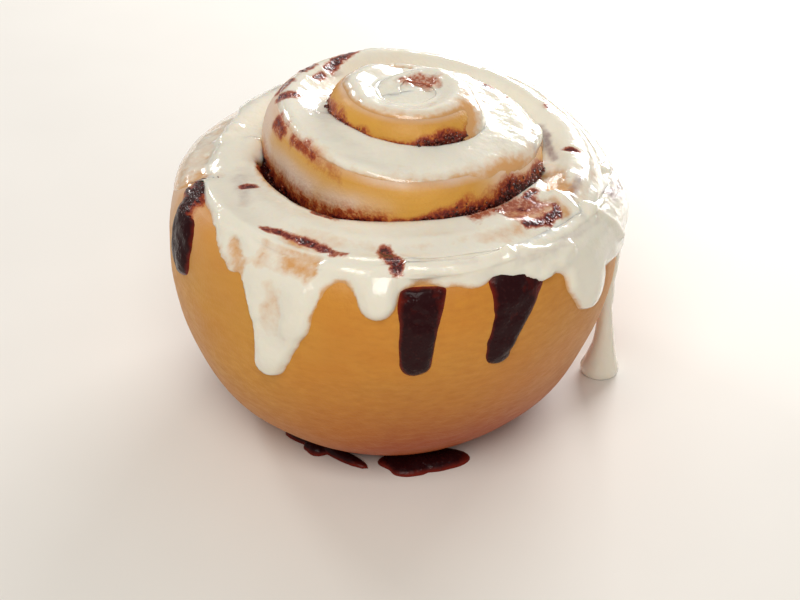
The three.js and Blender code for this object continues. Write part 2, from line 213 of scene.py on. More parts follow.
@dataclass
class Shell:
    """A mesh being worked out: vertices, faces and values on the vertices."""

    points: Array
    quads: Array = field(default_factory=lambda: np.zeros((0, 4), dtype=np.int64))
    triangles: Array = field(default_factory=lambda: np.zeros((0, 3), dtype=np.int64))
    values: dict[str, Array] = field(default_factory=dict)

    def normals(self) -> Array:
        """Unit normal at each vertex: the sum of the area vectors of the faces round it."""
        p = self.points
        total = np.zeros_like(p)
        q, t = self.quads, self.triangles
        area = np.cross(p[q[:, 2]] - p[q[:, 0]], p[q[:, 3]] - p[q[:, 1]])
        for n in range(4):
            np.add.at(total, q[:, n], area)
        area = np.cross(p[t[:, 1]] - p[t[:, 0]], p[t[:, 2]] - p[t[:, 0]])
        for n in range(3):
            np.add.at(total, t[:, n], area)
        return total / np.maximum(np.linalg.norm(total, axis=1, keepdims=True), 1e-12)

    def relaxed(self, weight: Array, rounds: int) -> Array:
        """The vertices after rounds in which each moves towards the mean of its neighbours.

        Args:
            weight: share of the way that each vertex moves in a round, shape (n,).
            rounds: how many rounds.

        Returns:
            The new positions, shape (n, 3).
        """
        faces = [(self.quads, 4), (self.triangles, 3)]
        sides = [np.stack([f[:, k], f[:, (k + 1) % n]], axis=1) for f, n in faces for k in range(n)]
        pairs = np.vstack(sides)
        pairs = np.unique(np.sort(pairs, axis=1), axis=0)
        here, there = pairs.T
        ends, others = np.concatenate([here, there]), np.concatenate([there, here])
        count = np.maximum(np.bincount(ends, minlength=len(self.points)), 1)
        points = self.points.copy()
        for _ in range(rounds):
            total = [np.bincount(ends, weights=points[others, k], minlength=len(points)) for k in range(3)]
            points += (np.stack(total, axis=1) / count[:, None] - points) * weight[:, None]
        return points

    def joined(self, other: "Shell") -> "Shell":
        """This shell and another as one, values that only one has being 0 on the other."""
        start = len(self.points)
        names = set(self.values) | set(other.values)
        empty = (np.zeros(start), np.zeros(len(other.points)))
        values = {
            name: np.concatenate([self.values.get(name, empty[0]), other.values.get(name, empty[1])])
            for name in sorted(names)
        }
        return Shell(
            np.vstack([self.points, other.points]),
            np.vstack([self.quads, other.quads + start]),
            np.vstack([self.triangles, other.triangles + start]),
            values,
        )

    def to_object(self, name: str, material: bpy.types.Material) -> bpy.types.Object:
        """Makes the Blender object at the origin, smooth-shaded, in metres.

        Args:
            name: name of the piece.
            material: its finish.

        Returns:
            The object, linked to the scene.
        """
        mesh = bpy.data.meshes.new(name)
        quads, triangles = self.quads, self.triangles
        corners = np.concatenate([quads.ravel(), triangles.ravel()])
        sizes = np.concatenate([np.full(len(quads), 4), np.full(len(triangles), 3)])
        mesh.vertices.add(len(self.points))
        mesh.loops.add(len(corners))
        mesh.polygons.add(len(sizes))
        mesh.vertices.foreach_set("co", (self.points * MM).astype(np.float32).ravel())
        mesh.loops.foreach_set("vertex_index", corners.astype(np.int32))
        starts = np.concatenate([[0], np.cumsum(sizes)[:-1]])
        mesh.polygons.foreach_set("loop_start", starts.astype(np.int32))
        mesh.polygons.foreach_set("loop_total", sizes.astype(np.int32))
        mesh.polygons.foreach_set("use_smooth", np.ones(len(sizes), dtype=bool))
        for label, value in self.values.items():
            layer = mesh.attributes.new(label, "FLOAT", "POINT")
            layer.data.foreach_set("value", np.asarray(value, dtype=np.float32))
        mesh.update(calc_edges=True)
        mesh.validate()
        mesh.materials.append(material)
        piece = bpy.data.objects.new(name, mesh)
        bpy.context.scene.collection.objects.link(piece)
        return piece


def grid_quads(index: Array) -> Array:
    """Quads of a grid of vertex numbers, facing the way of (column step) x (row step).

    Args:
        index: vertex numbers, shape (columns, rows).

    Returns:
        Quads, shape (faces, 4).
    """
    a, b = index[:-1, :-1], index[1:, :-1]
    c, d = index[1:, 1:], index[:-1, 1:]
    return np.stack([a, b, c, d], axis=-1).reshape(-1, 4)


# ------------------------------------------------------------------ the rolled dough


class Region(Enum):
    """Which part of the roll's skin a vertex lies on."""

    WALL = 0
    RING = 1
    TURN = 2


@dataclass(frozen=True)
class SkinBlock:
    """One rectangular block of the skin's grid: its points, shape (columns, rows, 3), and
    the labels of its columns and rows."""

    points: Array
    region: Region
    angle: Array
    across: Array
    share: Array

    @property
    def size(self) -> int:
        """Number of points."""
        return self.points.shape[0] * self.points.shape[1]

    def spread(self, label: Array) -> Array:
        """A label of the columns or of the rows, repeated over the block's points."""
        return np.broadcast_to(label, self.points.shape[:2]).ravel().astype(float)


@dataclass
class Skin:
    """The roll's whole skin on one grid, with the labels of each vertex.

    Attributes:
        shell: vertices and faces.
        region: value of the Region of each vertex.
        azimuth: azimuth about the roll's axis.
        angle: winding angle, negative on the outermost ring and -400 on the wall.
        across: share of the way across the turn.
        share: share of the way up the wall, 1 above it.
        wall_index: vertex numbers of the wall, shape (columns, rows).
    """

    shell: Shell
    region: Array
    azimuth: Array
    angle: Array
    across: Array
    share: Array
    wall_index: Array

    @property
    def crease_angle(self) -> Array:
        """Winding angle of the crease that is nearest to each vertex."""
        return np.where(self.across > 0.5, self.angle + 360, self.angle)

    @property
    def to_crease(self) -> Array:
        """Share of the turn's width between each vertex and its nearest crease."""
        return np.minimum(self.across, 1 - self.across)


@dataclass(frozen=True)
class RollShape:
    """Shape of the baked roll: an outside wall, and a spiral of turns on top."""

    tail: float = 190.0
    centre: tuple[float, float] = (3.0, 0.0)
    last_angle: float = 1080.0
    eye_height: float = 78.1
    deepest: float = 5.0
    wall_radius: Curve = Curve((
        (0.00, 32.3), (0.05, 35.4), (0.15, 40.8), (0.28, 46.2), (0.42, 50.0), (0.56, 52.6),
        (0.70, 53.4), (0.81, 53.1), (0.90, 52.0), (0.96, 50.4), (1.00, 48.2),
    ))
    wall_height: Curve = Curve((
        (0.00, 0.0), (0.05, 1.9), (0.15, 6.0), (0.28, 12.0), (0.42, 20.0), (0.56, 30.0),
        (0.70, 40.0), (0.81, 48.0), (0.90, 54.5), (0.96, 58.4), (1.00, 60.8),
    ))
    crease_radius: Curve = Curve((
        (0, 48.0), (40, 47.2), (80, 45.0), (130, 43.2), (162, 42.9), (180, 42.8), (200, 42.0),
        (228, 40.2), (260, 39.0), (335, 36.0), (356, 33.2), (372, 31.2), (392, 30.8), (415, 31.4),
        (440, 32.4), (490, 30.0), (530, 30.0),
        (620, 25.0), (710, 19.2), (755, 17.0), (800, 17.4), (845, 17.0), (890, 15.6), (980, 12.0),
        (1080, 8.5), (1260, 5.5), (1440, 3.0),
    ))
    crease_height: Curve = Curve((
        (0, 61.6), (40, 62.2), (80, 62.7), (130, 60.6), (162, 54.6), (180, 53.4), (200, 55.2),
        (228, 59.8), (260, 60.0), (350, 62.0), (390, 63.0), (440, 64.5), (490, 62.5), (530, 61.0),
        (620, 66.0), (710, 72.0), (755, 74.0), (800, 73.6), (890, 71.5), (980, 74.5), (1080, 77.4),
        (1260, 77.8), (1440, 78.0),
    ))
    rim_radius: Curve = Curve((
        (0, 41.5), (80, 39.5), (170, 37.0), (260, 34.0), (315, 31.4), (350, 29.0), (390, 27.4),
        (432, 28.6), (471, 25.2), (500, 23.8), (530, 23.0), (575, 22.0), (620, 20.6), (665, 16.6),
        (699, 14.4), (714, 12.9), (800, 12.6), (835, 11.6), (860, 10.8), (890, 10.2), (980, 8.8),
        (1080, 5.8),
    ))
    rim_height: Curve = Curve((
        (0, 62.6), (80, 64.4), (170, 64.2), (260, 71.2), (282, 73.2), (315, 74.2), (350, 75.6),
        (440, 73.2), (530, 70.6), (575, 71.8), (620, 74.4), (665, 78.2), (710, 80.2), (800, 80.4),
        (890, 79.8), (980, 79.0), (1080, 77.8),
    ))
    # How much higher the outermost ring's rim stands than the line between its creases.
    ring_lift: Curve = Curve((
        (-360, 0.0), (-320, 0.0), (-300, 0.3), (-230, 0.5), (-200, 2.0), (-150, 2.6), (-60, 2.4),
        (0, 1.2),
    ))
    # Knots of a turn's section: (toward the rim, height share) on the outer side of the
    # rim, then (toward the inner crease, drop share) on its inner side.
    outer_knots: tuple[tuple[float, float], ...] = (
        (0.00, 0.00), (-0.02, 0.16), (0.04, 0.42), (0.24, 0.70), (0.60, 0.93),
    )
    ring_knots: tuple[tuple[float, float], ...] = (
        (0.00, 0.00), (0.18, 0.24), (0.38, 0.50), (0.60, 0.74), (0.82, 0.92),
    )
    inner_knots: tuple[tuple[float, float], ...] = (
        (0.00, 0.00), (0.20, 0.12), (0.45, 0.42), (0.72, 0.74), (0.91, 0.90), (1.00, 1.00),
    )

    def wall(self, azimuth: Array, share: Array) -> Array:
        """Point of the outside wall: a section turned about the axis. It swells towards
        the tail, is tucked in at the foot in front and along the right side, sags at the
        back left, and on the right the outer layer has slumped.

        Args:
            azimuth: azimuths in degrees.
            share: shares of the way up the section, from the base (0) to the top (1).

        Returns:
            Points, shape (..., 3).
        """
        swell = 0.02 * bell(turn_between(azimuth, 190), 50)
        foot = 0.075 * bell(turn_between(azimuth, 315), 50) * (1 - smoothstep(0.3, 0.85, share))
        level = plateau((0.15, 0.5), (0.82, 0.95), share)
        side = 0.035 * bell(turn_between(azimuth, 5), 38) * level
        slump = bell(turn_between(azimuth, 8), 24)
        lobe = 0.04 * slump * smoothstep(0.85, 1.0, share)
        sag = 2.4 * bell(turn_between(azimuth, 140), 45) * share**6 + 9 * slump * share**5
        radius = self.wall_radius.at(share) * (1 + swell - foot - side + lobe)
        height = self.wall_height.at(share) - sag
        a = np.radians(azimuth)
        return np.stack([radius * np.cos(a), radius * np.sin(a), height], axis=-1)

    def about_centre(self, radius: Array, height: Array, angle: Array) -> Array:
        """Points at a radius and height about the spiral's centre, at winding angles."""
        a = np.radians(self.tail + angle)
        return np.stack(
            [self.centre[0] + radius * np.cos(a), self.centre[1] + radius * np.sin(a), height + 0 * a],
            axis=-1,
        )

    def crease(self, angle: Array) -> Array:
        """Bottom of the crease outside the turn at each winding angle."""
        return self.about_centre(self.crease_radius.at(angle), self.crease_height.at(angle), angle)

    def rim(self, angle: Array) -> Array:
        """Top of the turn at each winding angle."""
        return self.about_centre(self.rim_radius.at(angle), self.rim_height.at(angle), angle)

    def section(
        self, outer: Array, rim: Array, inner: Array, sink: Array, rows: int, shoulder: Array
    ) -> Array:
        """Sections of turns: a smooth line through knots that lead from the outer crease
        up the turn's wall to its rim and down to the inner crease.

        Args:
            outer: outer crease points, shape (columns, 3).
            rim: rim points, shape (columns, 3).
            inner: inner crease points, shape (columns, 3).
            sink: how far the inner crease is opened downwards, shape (columns,).
            rows: how many points each section gets, its end left out.
            shoulder: how far each section starts as a rounded shoulder (1) or as a wall (0).

        Returns:
            Points, shape (columns, rows, 3).
        """
        knots = []
        for (along, up), (round_along, round_up) in zip(self.outer_knots, self.ring_knots):
            wall = self._between(outer, rim, along, up)
            rounded = self._between(outer, rim, round_along, round_up)
            knots.append(wall + (rounded - wall) * shoulder[:, None])
        knots += [self._between(rim, inner, along, up) for along, up in self.inner_knots]
        control = np.stack(knots, axis=1)
        opened = (sink / self.deepest)[:, None]
        # The last knots, from the end: how far each moves sideways, and how far down.
        for knot, nearer, part in ((-3, -0.15, -0.20), (-2, -0.21, 0.72), (-1, 0.0, 1.0)):
            control[:, knot, :2] += nearer * opened * (inner - rim)[:, :2]
            control[:, knot, 2] -= part * sink
        return np.einsum("kc,ncd->nkd", self._blend(len(knots), rows), control)

    @staticmethod
    def _between(start: Array, end: Array, along: float, up: float) -> Array:
        """Points part of the way from start to end, sideways and upwards by own shares."""
        share = np.array([along, along, up])
        return start + (end - start) * share

    @staticmethod
    def _blend(knots: int, rows: int) -> Array:
        """Weights of a cardinal spline: row k gives how much each knot counts at the
        k-th of `rows` even steps from the first knot to the last."""
        at = np.arange(rows) / rows * (knots - 1)
        i = np.minimum(at.astype(int), knots - 2)
        t = at - i
        tension = 0.5
        before = -tension * t + 2 * tension * t**2 - tension * t**3
        here = 1 + (tension - 3) * t**2 + (2 - tension) * t**3
        after = tension * t + (3 - 2 * tension) * t**2 + (tension - 2) * t**3
        beyond = -tension * t**2 + tension * t**3
        weights = np.zeros((rows, knots))
        k = np.arange(rows)
        for shift, value in ((-1, before), (0, here), (1, after), (2, beyond)):
            np.add.at(weights, (k, np.clip(i + shift, 0, knots - 1)), value)
        return weights

    def sink(self, angle: Array) -> Array:
        """How far each crease is opened downwards, in millimetres: the deep gap at the
        front left, where the second turn has lifted off the outer one."""
        opened = smoothstep(338, 364, angle)
        share = 0.55 * (1 - smoothstep(392, 420, angle)) + 0.45 * (1 - smoothstep(415, 450, angle))
        return self.deepest * opened * share

    def skin(self, columns: int, wall_rows: int, turn_rows: int, core_rows: int, low: float) -> Skin:
        """The skin as one grid: a ring of columns up the wall, then a strip that winds
        inwards, each of whose columns ends on the column one full turn further in.

        Args:
            columns: columns in one full turn.
            wall_rows: rows of faces up the wall.
            turn_rows: rows of faces across each turn.
            core_rows: rows of faces in the middle of the spiral.
            low: share of the way up the wall where the skin starts.

        Returns:
            The open skin (its lower edge is the first wall row) and its labels.
        """
        step = 360.0 / columns
        azimuth = self.tail + np.arange(columns) * step
        share = low + (1 - low) * np.arange(wall_rows + 1) / wall_rows
        across = np.arange(turn_rows) / turn_rows
        wall = self.wall(azimuth[:, None], share[None, :])

        ring_angle = (np.arange(1, columns) - columns) * step
        ring_outer = wall[1:, -1]
        ring_inner = self.crease(ring_angle + 360)
        width = np.linalg.norm((ring_outer - ring_inner)[:, :2], axis=1)
        rim_share = 0.45 + 0.17 * smoothstep(-90, 0, ring_angle)
        ring_rim = ring_outer + (ring_inner - ring_outer) * rim_share[:, None]
        ring_rim[:, 2] += np.minimum(self.ring_lift.at(ring_angle), 0.3 * width)
        opened = self.sink(ring_angle + 360)
        ring = self.section(ring_outer, ring_rim, ring_inner, opened, turn_rows, np.ones(columns - 1))

        angle = np.arange(int(round(self.last_angle / step)) + 1) * step
        outer = self.crease(angle)
        outer[:, 2] -= self.sink(angle)
        outer[0] = wall[0, -1]
        inner = self.crease(angle + 360)
        shoulder = 1 - smoothstep(100, 160, angle)
        turn = self.section(outer, self.rim(angle), inner, self.sink(angle + 360), turn_rows, shoulder)
        core_angle = angle[-1] + np.arange(1, columns + 1) * step

        blocks = [
            SkinBlock(wall, Region.WALL, np.full(columns, WALL_LABEL), np.zeros(wall_rows + 1), share),
            SkinBlock(ring[:, 1:], Region.RING, ring_angle, across[1:], np.ones(turn_rows - 1)),
            SkinBlock(turn, Region.TURN, angle, across, np.ones(turn_rows)),
            SkinBlock(self.crease(core_angle)[:, None], Region.TURN, core_angle, np.zeros(1), np.ones(1)),
        ]
        starts = np.cumsum([0] + [block.size for block in blocks])
        wall_index, ring_index, turn_index, core_index = (
            start + np.arange(block.size).reshape(block.points.shape[:2])
            for start, block in zip(starts, blocks)
        )
        top = wall_index[:, -1]
        turn_index[0, 0] = top[0]

        first = np.full((1, turn_rows), top[0])
        strip = np.vstack([first, np.hstack([top[1:, None], ring_index]), turn_index])
        ends = np.concatenate([strip[columns:, 0], core_index[:, 0]])
        strip = np.hstack([strip, ends[:, None]])

        points = np.vstack([block.points.reshape(-1, 3) for block in blocks])
        loop = np.concatenate([strip[-1:, 0], core_index[:, 0], strip[-1, -2:0:-1]])
        eye = np.array([*self.centre, self.eye_height])
        shrink = 1 - np.arange(1, core_rows)[:, None, None] / core_rows
        middle = eye + (points[loop][None] - eye) * shrink
        middle_index = len(points) + np.arange(middle[..., 0].size).reshape(middle.shape[:2])
        rings = np.vstack([loop[None], middle_index])
        rings = np.hstack([rings, rings[:, :1]]).T
        last = len(points) + middle_index.size
        fan = np.stack([rings[:-1, -1], rings[1:, -1], np.full(len(loop), last)], axis=-1)
        eye_block = SkinBlock(
            np.vstack([middle.reshape(-1, 3), eye[None]])[:, None],
            Region.TURN,
            np.full(middle_index.size + 1, self.last_angle + 360),
            np.full(1, 0.6),
            np.ones(1),
        )
        blocks.append(eye_block)
        points = np.vstack([points, eye_block.points.reshape(-1, 3)])

        closed = np.vstack([wall_index, wall_index[:1]])
        quads = np.vstack([grid_quads(closed), grid_quads(strip), grid_quads(rings)])
        wedge = quads[:, 0] == quads[:, 3]
        return Skin(
            shell=Shell(points, quads[~wedge], np.vstack([quads[wedge, :3], fan])),
            region=np.concatenate([np.full(block.size, block.region.value) for block in blocks]),
            azimuth=np.mod(np.degrees(np.arctan2(points[:, 1], points[:, 0])), 360),
            angle=np.concatenate([block.spread(block.angle[:, None]) for block in blocks]),
            across=np.concatenate([block.spread(block.across[None]) for block in blocks]),
            share=np.concatenate([block.spread(block.share[None]) for block in blocks]),
            wall_index=wall_index,
        )


@dataclass(frozen=True)
class Trail:
    """A soft-edged streak or spot on the roll, where a coat or a colour differs.

    Attributes:
        width: half width in millimetres.
        strength: how much it changes what it acts on.
        stops: points (x, y, z) that it runs through; a spot has only one.
    """

    width: float
    strength: float
    stops: tuple[tuple[float, float, float], ...]

    def weight(self, points: Array, wobble: Array) -> Array:
        """Weight of the streak at each point: full near the line through its stops, none
        past its half width, with the distance pushed about by the wobble.

        Args:
            points: positions, shape (n, 3).
            wobble: noise of about -1 to 1 at each point.

        Returns:
            Weights, from 0 to strength.
        """
        stops = np.array(self.stops)
        starts, ends = stops[:-1], stops[1:]
        if len(stops) == 1:
            starts, ends = stops, stops
        way = ends - starts
        length = np.maximum((way**2).sum(axis=1), 1e-9)
        offset = points[:, None] - starts[None]
        share = np.clip((offset * way).sum(axis=2) / length, 0, 1)
        away = np.linalg.norm(offset - share[..., None] * way, axis=2).min(axis=1)
        far = away / self.width * (1 + 0.3 * wobble)
        return self.strength * (1 - smoothstep(0.30, 1.20, far))


def total_weight(trails: Sequence[Trail], points: Array, size: float, seed: int) -> Array:
    """Sum of the weights of streaks whose edges wander.

    Args:
        trails: the streaks.
        points: positions, shape (n, 3).
        size: size of the wandering in millimetres.
        seed: picks its pattern.

    Returns:
        Weights, shape (n,).
    """
    wobble = fractal(points, size, 3, seed)
    return sum((trail.weight(points, wobble) for trail in trails), np.zeros(len(points)))


# Cinnamon that shows on the crust and in the icing.
SPICE = (
    Trail(1.1, 0.95, ((-29.7, -32.8, 63.1), (-25.1, -34.7, 63.5), (-21.3, -37.3, 63.7), (-17.8, -39.9, 63.7),
                     (-14.3, -42.4, 63.5), (-11.5, -43.6, 63.3))),
    Trail(1.6, 0.5, ((-20.5, -37.6, 63.5), (-15.5, -41.2, 63.5))),
    Trail(1.2, 1.1, ((-34.9, -16.4, 62.9), (-31.6, -16.0, 63.9))),
    Trail(1.0, 1.0, ((-18.5, -27.8, 64.5), (-12.9, -32.6, 65.0))),
    Trail(1.8, 1.1, ((-3.4, -42.6, 64.0), (-1.6, -45.4, 63.2), (-0.8, -46.8, 62.4))),
    Trail(2.4, 0.75, ((-27.6, -4.0, 73.6), (-26.4, -8.0, 73.6))),
    Trail(1.8, 0.5, ((-23.8, -12.0, 73.8), (-19.6, -17.8, 73.6))),
    Trail(2.4, 0.22, ((-18.0, -19.8, 73.2), (-14.0, -24.8, 72.2))),
    Trail(1.6, 0.9, ((-27.6, 8.0, 74.6), (-25.9, 13.5, 74.4))),
    Trail(1.5, 0.9, ((-23.0, 19.0, 74.2), (-20.9, 22.3, 73.9))),
    Trail(1.5, 1.1, ((-17.6, 21.2, 73.0), (-15.5, 25.0, 73.5), (-12.5, 29.4, 73.3), (-10.2, 31.6, 72.6))),
    Trail(1.2, 0.9, ((-20.6, 15.6, 73.0), (-18.8, 18.6, 73.0))),
    Trail(2.0, 0.85, ((-26.8, 3.6, 75.4), (-24.6, 4.6, 75.4))),
    Trail(1.2, 1.1, ((15.1, 18.1, 72.3), (17.9, 16.9, 71.8), (21.0, 15.3, 71.4))),
    Trail(0.9, 0.9, ((23.0, 12.8, 71.1), (24.4, 11.6, 70.8))),
    Trail(1.0, 1.0, ((38.6, -0.8, 64.2), (40.4, -2.4, 64.0))),
    Trail(0.8, 0.9, ((34.6, 18.0, 65.1), (36.0, 15.8, 64.9))),
    Trail(3.0, 0.45, ((16.0, -30.0, 64.6), (19.6, -27.2, 63.8), (24.0, -25.7, 63.4), (28.6, -22.9, 63.5))),
    Trail(2.6, 0.4, ((25.0, -30.0, 63.8), (31.0, -25.0, 64.0))),
    Trail(1.6, 1.0, ((27.6, -31.6, 63.7), (31.4, -29.4, 63.4), (33.6, -26.9, 63.5))),
    Trail(1.4, 1.0, ((28.4, -21.0, 63.2), (29.8, -19.2, 63.0))),
    Trail(1.2, 0.8, ((34.1, -24.5, 64.0), (34.6, -27.0, 63.2))),
    Trail(2.8, 0.42, ((1.2, 4.4, 78.0), (4.6, 5.4, 78.2), (8.0, 3.8, 78.4))),
)
# Places where the icing is thin.
THIN = (
    Trail(3.6, 1.4, ((-27.8, -36.9, 62.2), (-22.9, -39.6, 63.0), (-18.4, -42.4, 62.4))),
    Trail(2.6, 1.2, ((-35.6, -34.0, 60.3), (-34.2, -37.2, 58.6))),
    Trail(2.4, 1.0, ((-30.0, -39.6, 60.0), (-24.3, -42.9, 60.0), (-19.4, -45.6, 59.2))),
    Trail(3.8, 0.95, ((-26.0, -44.0, 56.5), (-27.0, -45.6, 51.0), (-27.6, -46.6, 46.0))),
    Trail(3.0, 2.2, ((33.0, -9.0, 62.0), (34.6, -13.0, 63.2), (35.2, -17.0, 64.0))),
    Trail(3.8, 1.2, ((24.5, -27.5, 63.4), (30.0, -27.2, 64.2), (35.0, -23.0, 64.2))),
    Trail(1.3, 2.6, ((-2.8, 18.4, 75.8), (2.2, 19.0, 75.4))),
    Trail(3.0, 1.0, ((3.6, 4.6, 78.4), (6.6, 4.4, 78.4))),
    Trail(2.6, 0.9, ((31.6, 24.8, 62.0), (24.6, 30.8, 61.4))),
    Trail(2.4, 0.8, ((-8.0, 44.6, 62.0), (4.0, 45.4, 62.0))),
)
# Cinnamon under the icing, which turns it a dull violet; the same violet grey also paints shade along the
# front-right groove and along the front fold where the icing bends down.
DULL_AND_SHADE = (
    Trail(1.3, 0.4, ((23.0, -43.2, 61.2), (30.0, -38.8, 60.4), (38.0, -30.4, 60.2), (43.4, -21.0, 58.6))),
    Trail(1.8, 0.8, ((33.3, 11.0, 62.7), (35.1, 6.6, 62.6), (35.3, 2.6, 62.2), (36.4, -4.0, 62.2))),
    Trail(2.8, 0.9, ((49.9, 6.4, 51.8), (50.5, -4.8, 53.7), (46.5, -10.1, 56.9))),
    Trail(1.0, 0.35, ((0.2, -44.5, 62.9), (3.8, -45.4, 62.5), (8.4, -45.2, 62.3), (15.3, -44.5, 61.9))),
    Trail(1.8, 0.6, ((-23.0, 14.0, 72.0), (-15.4, 21.4, 71.6))),
    Trail(1.4, 0.7, ((29.6, -8.0, 68.0), (31.0, -2.0, 66.4), (30.4, 5.0, 66.0))),
    Trail(1.6, 0.7, ((36.8, -20.8, 63.4), (40.2, -12.6, 63.4))),
    Trail(1.2, 0.7, ((31.4, 14.0, 64.6), (33.6, 4.0, 64.6), (33.0, -8.0, 64.8))),
    Trail(2.4, 0.5, ((-36.0, -12.0, 62.6), (-34.0, -22.0, 62.8))),
    Trail(1.6, 0.6, ((10.0, 33.0, 61.0), (24.0, 25.0, 61.0))),
    Trail(1.6, 0.6, ((-30.0, 30.0, 61.0), (-16.0, 37.0, 61.0))),
)
# Beads and lumps in which the icing has set.
BEADS = (
    Trail(1.4, 0.8, ((2.1, -46.4, 62.2), (8.4, -46.6, 61.6), (15.3, -45.4, 61.4), (22.2, -41.6, 61.4))),
    Trail(1.4, 0.9, ((22.2, -41.6, 61.4), (29.9, -38.2, 60.6), (35.6, -34.0, 59.8))),
    Trail(1.3, 0.9, ((48.7, 9.0, 52.7), (42.7, -14.6, 60.8), (41.2, -24.1, 60.4))),
    Trail(1.3, 0.9, ((34.7, -20.3, 64.2), (38.1, -23.4, 62.0), (43.4, -21.9, 59.5), (48.6, -17.9, 52.7))),
    Trail(1.4, 0.8, ((36.3, -34.3, 58.9), (30.5, -41.0, 57.0))),
    Trail(1.5, 0.8, ((30.8, 1.3, 68.2), (30.2, -7.3, 68.1), (26.6, -16.2, 68.5))),
    Trail(2.6, 1.0, ((-41.7, 6.8, 63.0),)),
    Trail(2.2, 0.9, ((-39.0, 10.6, 62.7),)),
    Trail(2.0, 0.9, ((-34.6, 4.6, 61.6),)),
    Trail(2.4, 0.9, ((-34.8, 0.3, 60.0),)),
    Trail(2.6, 0.9, ((1.4, 4.6, 78.0), (4.6, 5.8, 78.2), (8.4, 4.0, 78.4))),
    Trail(1.6, 0.7, ((-20.0, 30.0, 63.0), (-4.0, 36.0, 62.0))),
    Trail(1.8, 0.8, ((14.0, 34.0, 62.0), (28.0, 22.0, 62.0))),
)


# ------------------------------------------------------------------ finishes


class NodeBoard:
    """Adds and links the nodes of one material or node group."""

    def __init__(self, tree: bpy.types.NodeTree) -> None:
        """Starts on an empty tree."""
        self.tree = tree

    def add(self, kind: str, inputs: dict | None = None, **settings: object) -> bpy.types.Node:
        """Adds a node.

        Args:
            kind: node type without its "ShaderNode" prefix.
            inputs: input name or number to a value, or to a socket to link.
            settings: attributes of the node.

        Returns:
            The node.
        """
        node = self.tree.nodes.new("ShaderNode" + kind)
        for name, value in settings.items():
            setattr(node, name, value)
        self.feed(node, inputs or {})
        return node

    def feed(self, node: bpy.types.Node, inputs: dict) -> None:
        """Sets a node's inputs, by name or number, to values or links them to sockets."""
        for name, value in inputs.items():
            if isinstance(value, Socket):
                self.tree.links.new(value, node.inputs[name])
            else:
                node.inputs[name].default_value = value

    def math(self, operation: str, a: object, b: object = 0.0, clamp: bool = False) -> Socket:
        """A Math node's result for two numbers or sockets."""
        return self.add("Math", {0: a, 1: b}, operation=operation, use_clamp=clamp).outputs[0]

    def plus(self, a: object, b: object, times: float, clamp: bool = False) -> Socket:
        """The sum of a and some times b."""
        return self.math("ADD", a, self.math("MULTIPLY", b, times), clamp)

    def swing(self, mask: Socket) -> Socket:
        """A mask from 0 to 1 as a swing from -0.5 to 0.5."""
        return self.math("SUBTRACT", mask, 0.5)

    def bump(self, height: Socket, strength: float, distance: float) -> Socket:
        """Shading normals of a height, whose full range is a distance in metres."""
        inputs = {"Height": height, "Strength": strength, "Distance": distance}
        return self.add("Bump", inputs).outputs[0]

    def blend(self, share: object, a: object, b: object) -> Socket:
        """A colour mix of a and b, each a colour or a socket."""
        node = self.add("Mix", data_type="RGBA", blend_type="MIX", clamp_factor=True)
        self.feed(node, {0: share, 6: a, 7: b})
        return node.outputs[2]

    def ramp(self, factor: Socket, stops: Sequence[tuple[float, float]]) -> Socket:
        """A grey ramp through (position, brightness) stops."""
        node = self.add("ValToRGB", {0: factor})
        elements = node.color_ramp.elements
        while len(elements) < len(stops):
            elements.new(0.5)
        for element, (position, grey) in zip(elements, stops):
            element.position = position
            element.color = (grey, grey, grey, 1)
        return node.outputs[0]

    def value_of(self, label: str) -> Socket:
        """The number that the mesh carries under a label."""
        return self.add("Attribute", attribute_name=label).outputs["Fac"]


def rgb(red: float, green: float, blue: float) -> tuple[float, float, float, float]:
    """Linear colour of an 8-bit display colour."""
    shares = [c / 255 for c in (red, green, blue)]
    linear = [c / 12.92 if c <= 0.04045 else ((c + 0.055) / 1.055) ** 2.4 for c in shares]
    return (*linear, 1.0)


